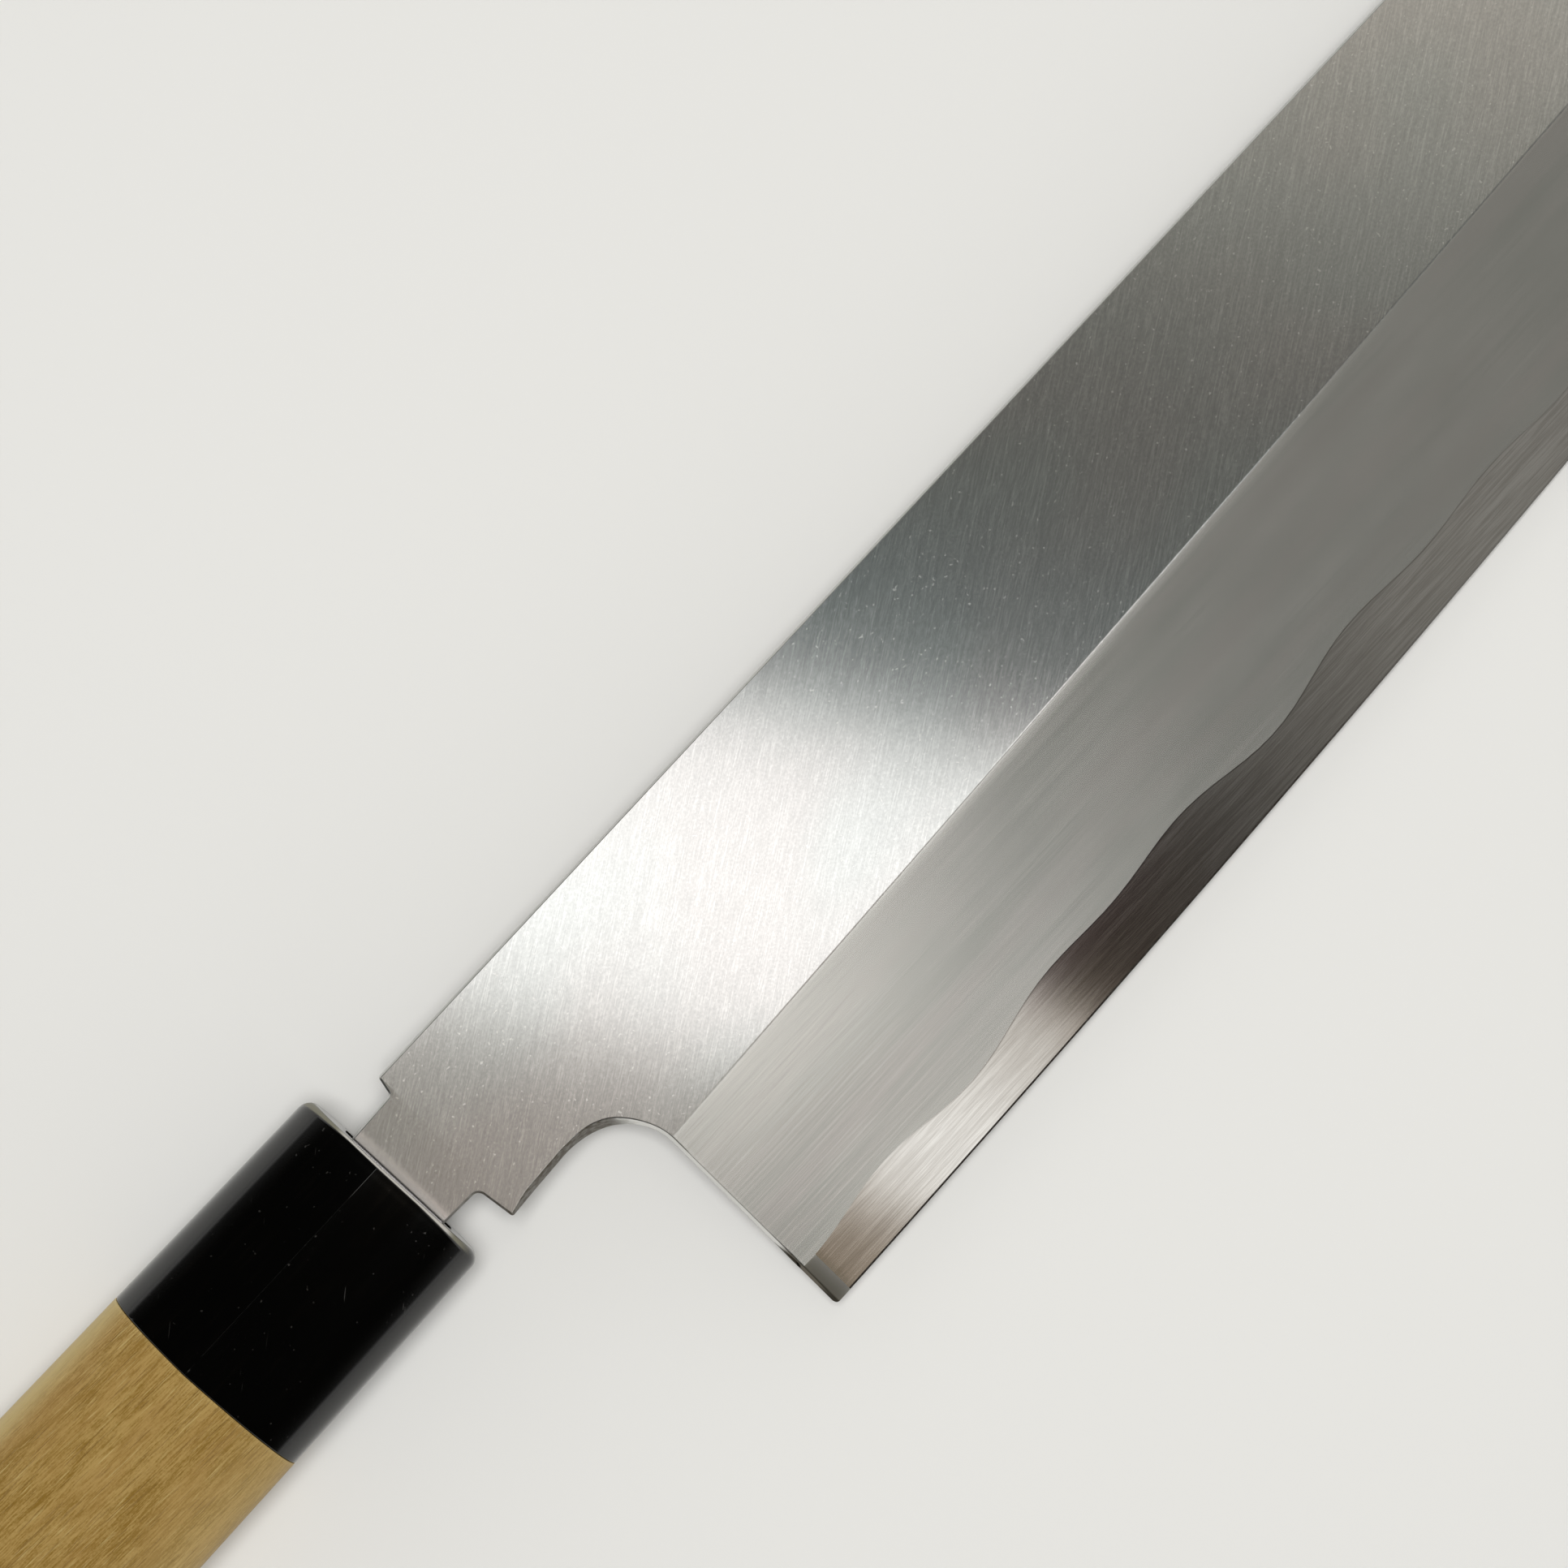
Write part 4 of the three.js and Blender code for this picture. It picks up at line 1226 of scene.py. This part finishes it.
def build_handle(scene):
    """The wooden grip with its tenon and the hole for the tang."""
    s, blade = scene.honekiri_grip, scene.honekiri_blade
    g = GripShape(s, blade)
    start = g.ferrule_back - s.joint_gap
    tenon_front = g.socket - s.fit_gap
    inset = s.ferrule_wall + s.fit_gap
    hole_front = g.slot(tenon_front, s.fit_gap, s.fit_gap)
    hole_end = g.slot(-blade.tang_length - s.fit_gap, s.fit_gap, s.fit_gap)
    joint = g.rim(start, s.joint_round, -1, g.joint_rings)
    butt = g.rim(g.butt, s.butt_round, 1, g.butt_rings)
    rings = [hole_end, hole_front, g.ring(tenon_front, inset), g.ring(start, inset)]
    rings += joint + g.stretch(start - s.joint_round, g.butt + s.butt_round, 24) + butt[::-1]
    middle = np.array([g.butt, 0.0, 0.0])
    rings += between(butt[0], middle, (0.12, 0.4, 0.7))
    skin = Skin("wood_grip")
    loft(skin, rings, (hole_end.mean(axis=0), middle))
    return skin.make([wood_material(scene.honekiri_finish)], knife_place(scene), GRIP_CREASE)


# Operators


def knife_place(scene):
    """The knife's own axes in the row frame, from the record's mounts."""
    mounts = {mount["name"]: mount for mount in frame["record"]["mounts"]}
    butt, flat = mounts["butt_face"], mounts["blade_flat"]
    along = -Vector(butt["axis"]).normalized()
    to_spine = Vector(flat["axis"]).cross(along).normalized()
    up = along.cross(to_spine)
    grip = scene.honekiri_grip
    origin = Vector(butt["pos_m"]) + along * (grip.neck_gap + grip.grip_length)
    turn = Matrix((along, to_spine, up)).transposed()
    return Matrix.Translation(origin) @ turn.to_4x4()


def settle(piece, node):
    """Ties a piece to the part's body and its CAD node."""
    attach(piece, "root")
    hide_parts(node)


class HONEKIRI_OT_blade(bpy.types.Operator):
    """Builds the iron body and the hard steel of the blade"""

    bl_idname = "honekiri.blade"
    bl_label = "Blade"

    def execute(self, context):
        iron, steel = build_blade(context.scene)
        settle(iron, "blade_iron")
        settle(steel, "blade_steel")
        return {"FINISHED"}


class HONEKIRI_OT_ferrule(bpy.types.Operator):
    """Builds the black horn ferrule"""

    bl_idname = "honekiri.ferrule"
    bl_label = "Ferrule"

    def execute(self, context):
        settle(build_ferrule(context.scene), "ferrule")
        return {"FINISHED"}


class HONEKIRI_OT_handle(bpy.types.Operator):
    """Builds the wooden handle"""

    bl_idname = "honekiri.handle"
    bl_label = "Handle"

    def execute(self, context):
        settle(build_handle(context.scene), "handle")
        return {"FINISHED"}


def add_lamp(name, place, size, radiance):
    """A square lamp of a given radiance that faces the origin."""
    data = bpy.data.lights.new(name, "AREA")
    data.shape = "RECTANGLE"
    data.size = data.size_y = size
    data.energy = radiance * math.pi * size**2
    lamp = bpy.data.objects.new(name, data)
    turn = (-Vector(place)).to_track_quat("-Z", "Y").to_matrix().to_4x4()
    lamp.matrix_world = Matrix.Translation(place) @ turn
    lamp.visible_camera = False
    bpy.context.scene.collection.objects.link(lamp)
    return lamp


def room_world(stage):
    """A room, paler towards the floor, with the bright and dark parts that the metal mirrors."""
    g = Graph(bpy.data.worlds.new("room"))
    east, north, z = g.place("Generated")

    # The room is turned a little, to suit the way the knife lies
    x = east + z * 0.00615
    y = north - z * 0.01506
    along, across = turned(x, y, BRUSH_ANGLE)
    high = z.ramp(0.45, 0.62)

    def shine(amount, *shades):
        return tuple(amount * shade for shade in shades)

    # A dark beam across the room, the backdrop low round it and nothing below the floor
    tint = g.layers(
        g.mix(z.ramp(0.80, 0.15) ** 1.3, (0.14, 0.138, 0.131), (0.98, 0.975, 0.95)),
        (x.window(-0.22, -0.040, 0.008), (0.010, 0.0095, 0.0085)),
        (z.ramp(0.11, 0.04), stage.backdrop),
        (z.ramp(-0.12, -0.2), (0.0, 0.0, 0.0)),
    )

    # Below the middle: what the bevel and the rounding of the ridge mirror
    side = y.window(-0.78, -0.18, 0.05) * high
    ridge = y.window(-0.40, -0.24, 0.03) * x.ramp(0.03, 0.05) * high
    tint = g.layers(
        tint,
        (side * x.ramp(-0.045, -0.030), (0.125, 0.125, 0.113)),
        (side * x.ramp(0.07, 0.19), (0.085, 0.085, 0.078)),
        (side * x.window(-0.030, 0.05, 0.010), shine(stage.bevel_light, 1.0, 0.99, 0.95)),
        (ridge, g.mix(x.ramp(0.05, 0.11), (1.25, 1.24, 1.19), (0.45, 0.44, 0.42))),
    )

    # The narrow part of it that the polished steel mirrors
    strip = y.window(-0.62, -0.39, 0.02) * high
    glow = g.mix(x.ramp(0.012, 0.045), (1.27, 1.255, 1.20), (0.74, 0.69, 0.62))
    tint = g.layers(
        tint,
        (strip * x.ramp(0.040, 0.045), (0.016, 0.010, 0.006)),
        (strip * x.ramp(0.055, 0.165), (0.28, 0.272, 0.245)),
        (strip * x.window(-0.036, 0.0, 0.010), (0.37, 0.30, 0.225)),
        (strip * x.window(0.001, 0.0425, 0.004), glow),
    )

    # Overhead: what the flat mirrors, from the handle's end to the tip's
    over = across.window(-0.22, 0.40, 0.03) * high * y.ramp(0.30, 0.20)
    over = over * x.ramp(-0.15, -0.12) * along.ramp(-0.21, -0.17)
    tint = g.layers(
        tint,
        (over, (0.185, 0.188, 0.171)),
        (over * along.window(0.0, 0.045, 0.012), (0.160, 0.198, 0.198)),
        (over * along.ramp(0.06, 0.22), (1.22, 1.18, 1.04)),
        (over * along.window(-0.14, -0.05, 0.012), (0.53, 0.485, 0.43)),
        (over * along.window(-0.0520, 0.0092, 0.003), shine(stage.flat_light, 1.0, 1.0, 0.985)),
    )
    light = g.node("ShaderNodeBackground", None, {"Color": tint, "Strength": 1.0})
    g.node("ShaderNodeOutputWorld", None, {"Surface": light.outputs[0]})
    return g.owner


class HONEKIRI_OT_stage(bpy.types.Operator):
    """Sets the camera, the lights, the floor and the background"""

    bl_idname = "honekiri.stage"
    bl_label = "Stage"

    def execute(self, context):
        scene = context.scene
        stage = scene.honekiri_stage
        data = bpy.data.cameras.new("camera")
        data.angle = stage.camera_angle
        data.clip_start = 0.01
        camera = bpy.data.objects.new("camera", data)
        camera.location = stage.camera_place
        camera.rotation_euler = stage.camera_turn
        scene.collection.objects.link(camera)
        scene.camera = camera
        scene.view_settings.view_transform = "Standard"

        # A soft lamp overhead lights the floor and the wood. The metal mirrors the room instead.
        key = add_lamp("key_lamp", stage.key_place, stage.key_size, stage.key_light)
        key.visible_glossy = False

        material = new_graph("pale_floor").surface(stage.floor, 0.6, Specular_IOR_Level=0.0)
        half = stage.floor_size / 2
        corners = [(-half, -half, 0), (half, -half, 0), (half, half, 0), (-half, half, 0)]
        mesh = bpy.data.meshes.new("floor")
        mesh.from_pydata(corners, [], [(0, 1, 2, 3)])
        mesh.materials.append(material)
        floor = bpy.data.objects.new("floor", mesh)
        scene.collection.objects.link(floor)

        scene.world = room_world(stage)
        return {"FINISHED"}


class HONEKIRI_PT_panel(bpy.types.Panel):
    """Lists the knife's pieces and the stage"""

    bl_idname = "HONEKIRI_PT_panel"
    bl_label = "Honekiri knife"
    bl_space_type = "VIEW_3D"
    bl_region_type = "UI"
    bl_category = "Honekiri"

    def draw(self, context):
        for operator in OPERATORS:
            self.layout.operator(operator.bl_idname)


GROUPS = {
    "honekiri_blade": HonekiriBladeSizes,
    "honekiri_grip": HonekiriGripSizes,
    "honekiri_finish": HonekiriFinish,
    "honekiri_stage": HonekiriStage,
}
OPERATORS = (HONEKIRI_OT_blade, HONEKIRI_OT_ferrule, HONEKIRI_OT_handle, HONEKIRI_OT_stage)


def register():
    for name, group in GROUPS.items():
        bpy.utils.register_class(group)
        setattr(bpy.types.Scene, name, PointerProperty(type=group))
    for operator in OPERATORS:
        bpy.utils.register_class(operator)
    bpy.utils.register_class(HONEKIRI_PT_panel)


def unregister():
    bpy.utils.unregister_class(HONEKIRI_PT_panel)
    for operator in reversed(OPERATORS):
        bpy.utils.unregister_class(operator)
    for name, group in GROUPS.items():
        delattr(bpy.types.Scene, name)
        bpy.utils.unregister_class(group)


def main():
    register()
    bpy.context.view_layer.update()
    bpy.ops.honekiri.blade()
    bpy.ops.honekiri.ferrule()
    bpy.ops.honekiri.handle()
    bpy.ops.honekiri.stage()
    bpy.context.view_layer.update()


if __name__ == "__main__":
    main()
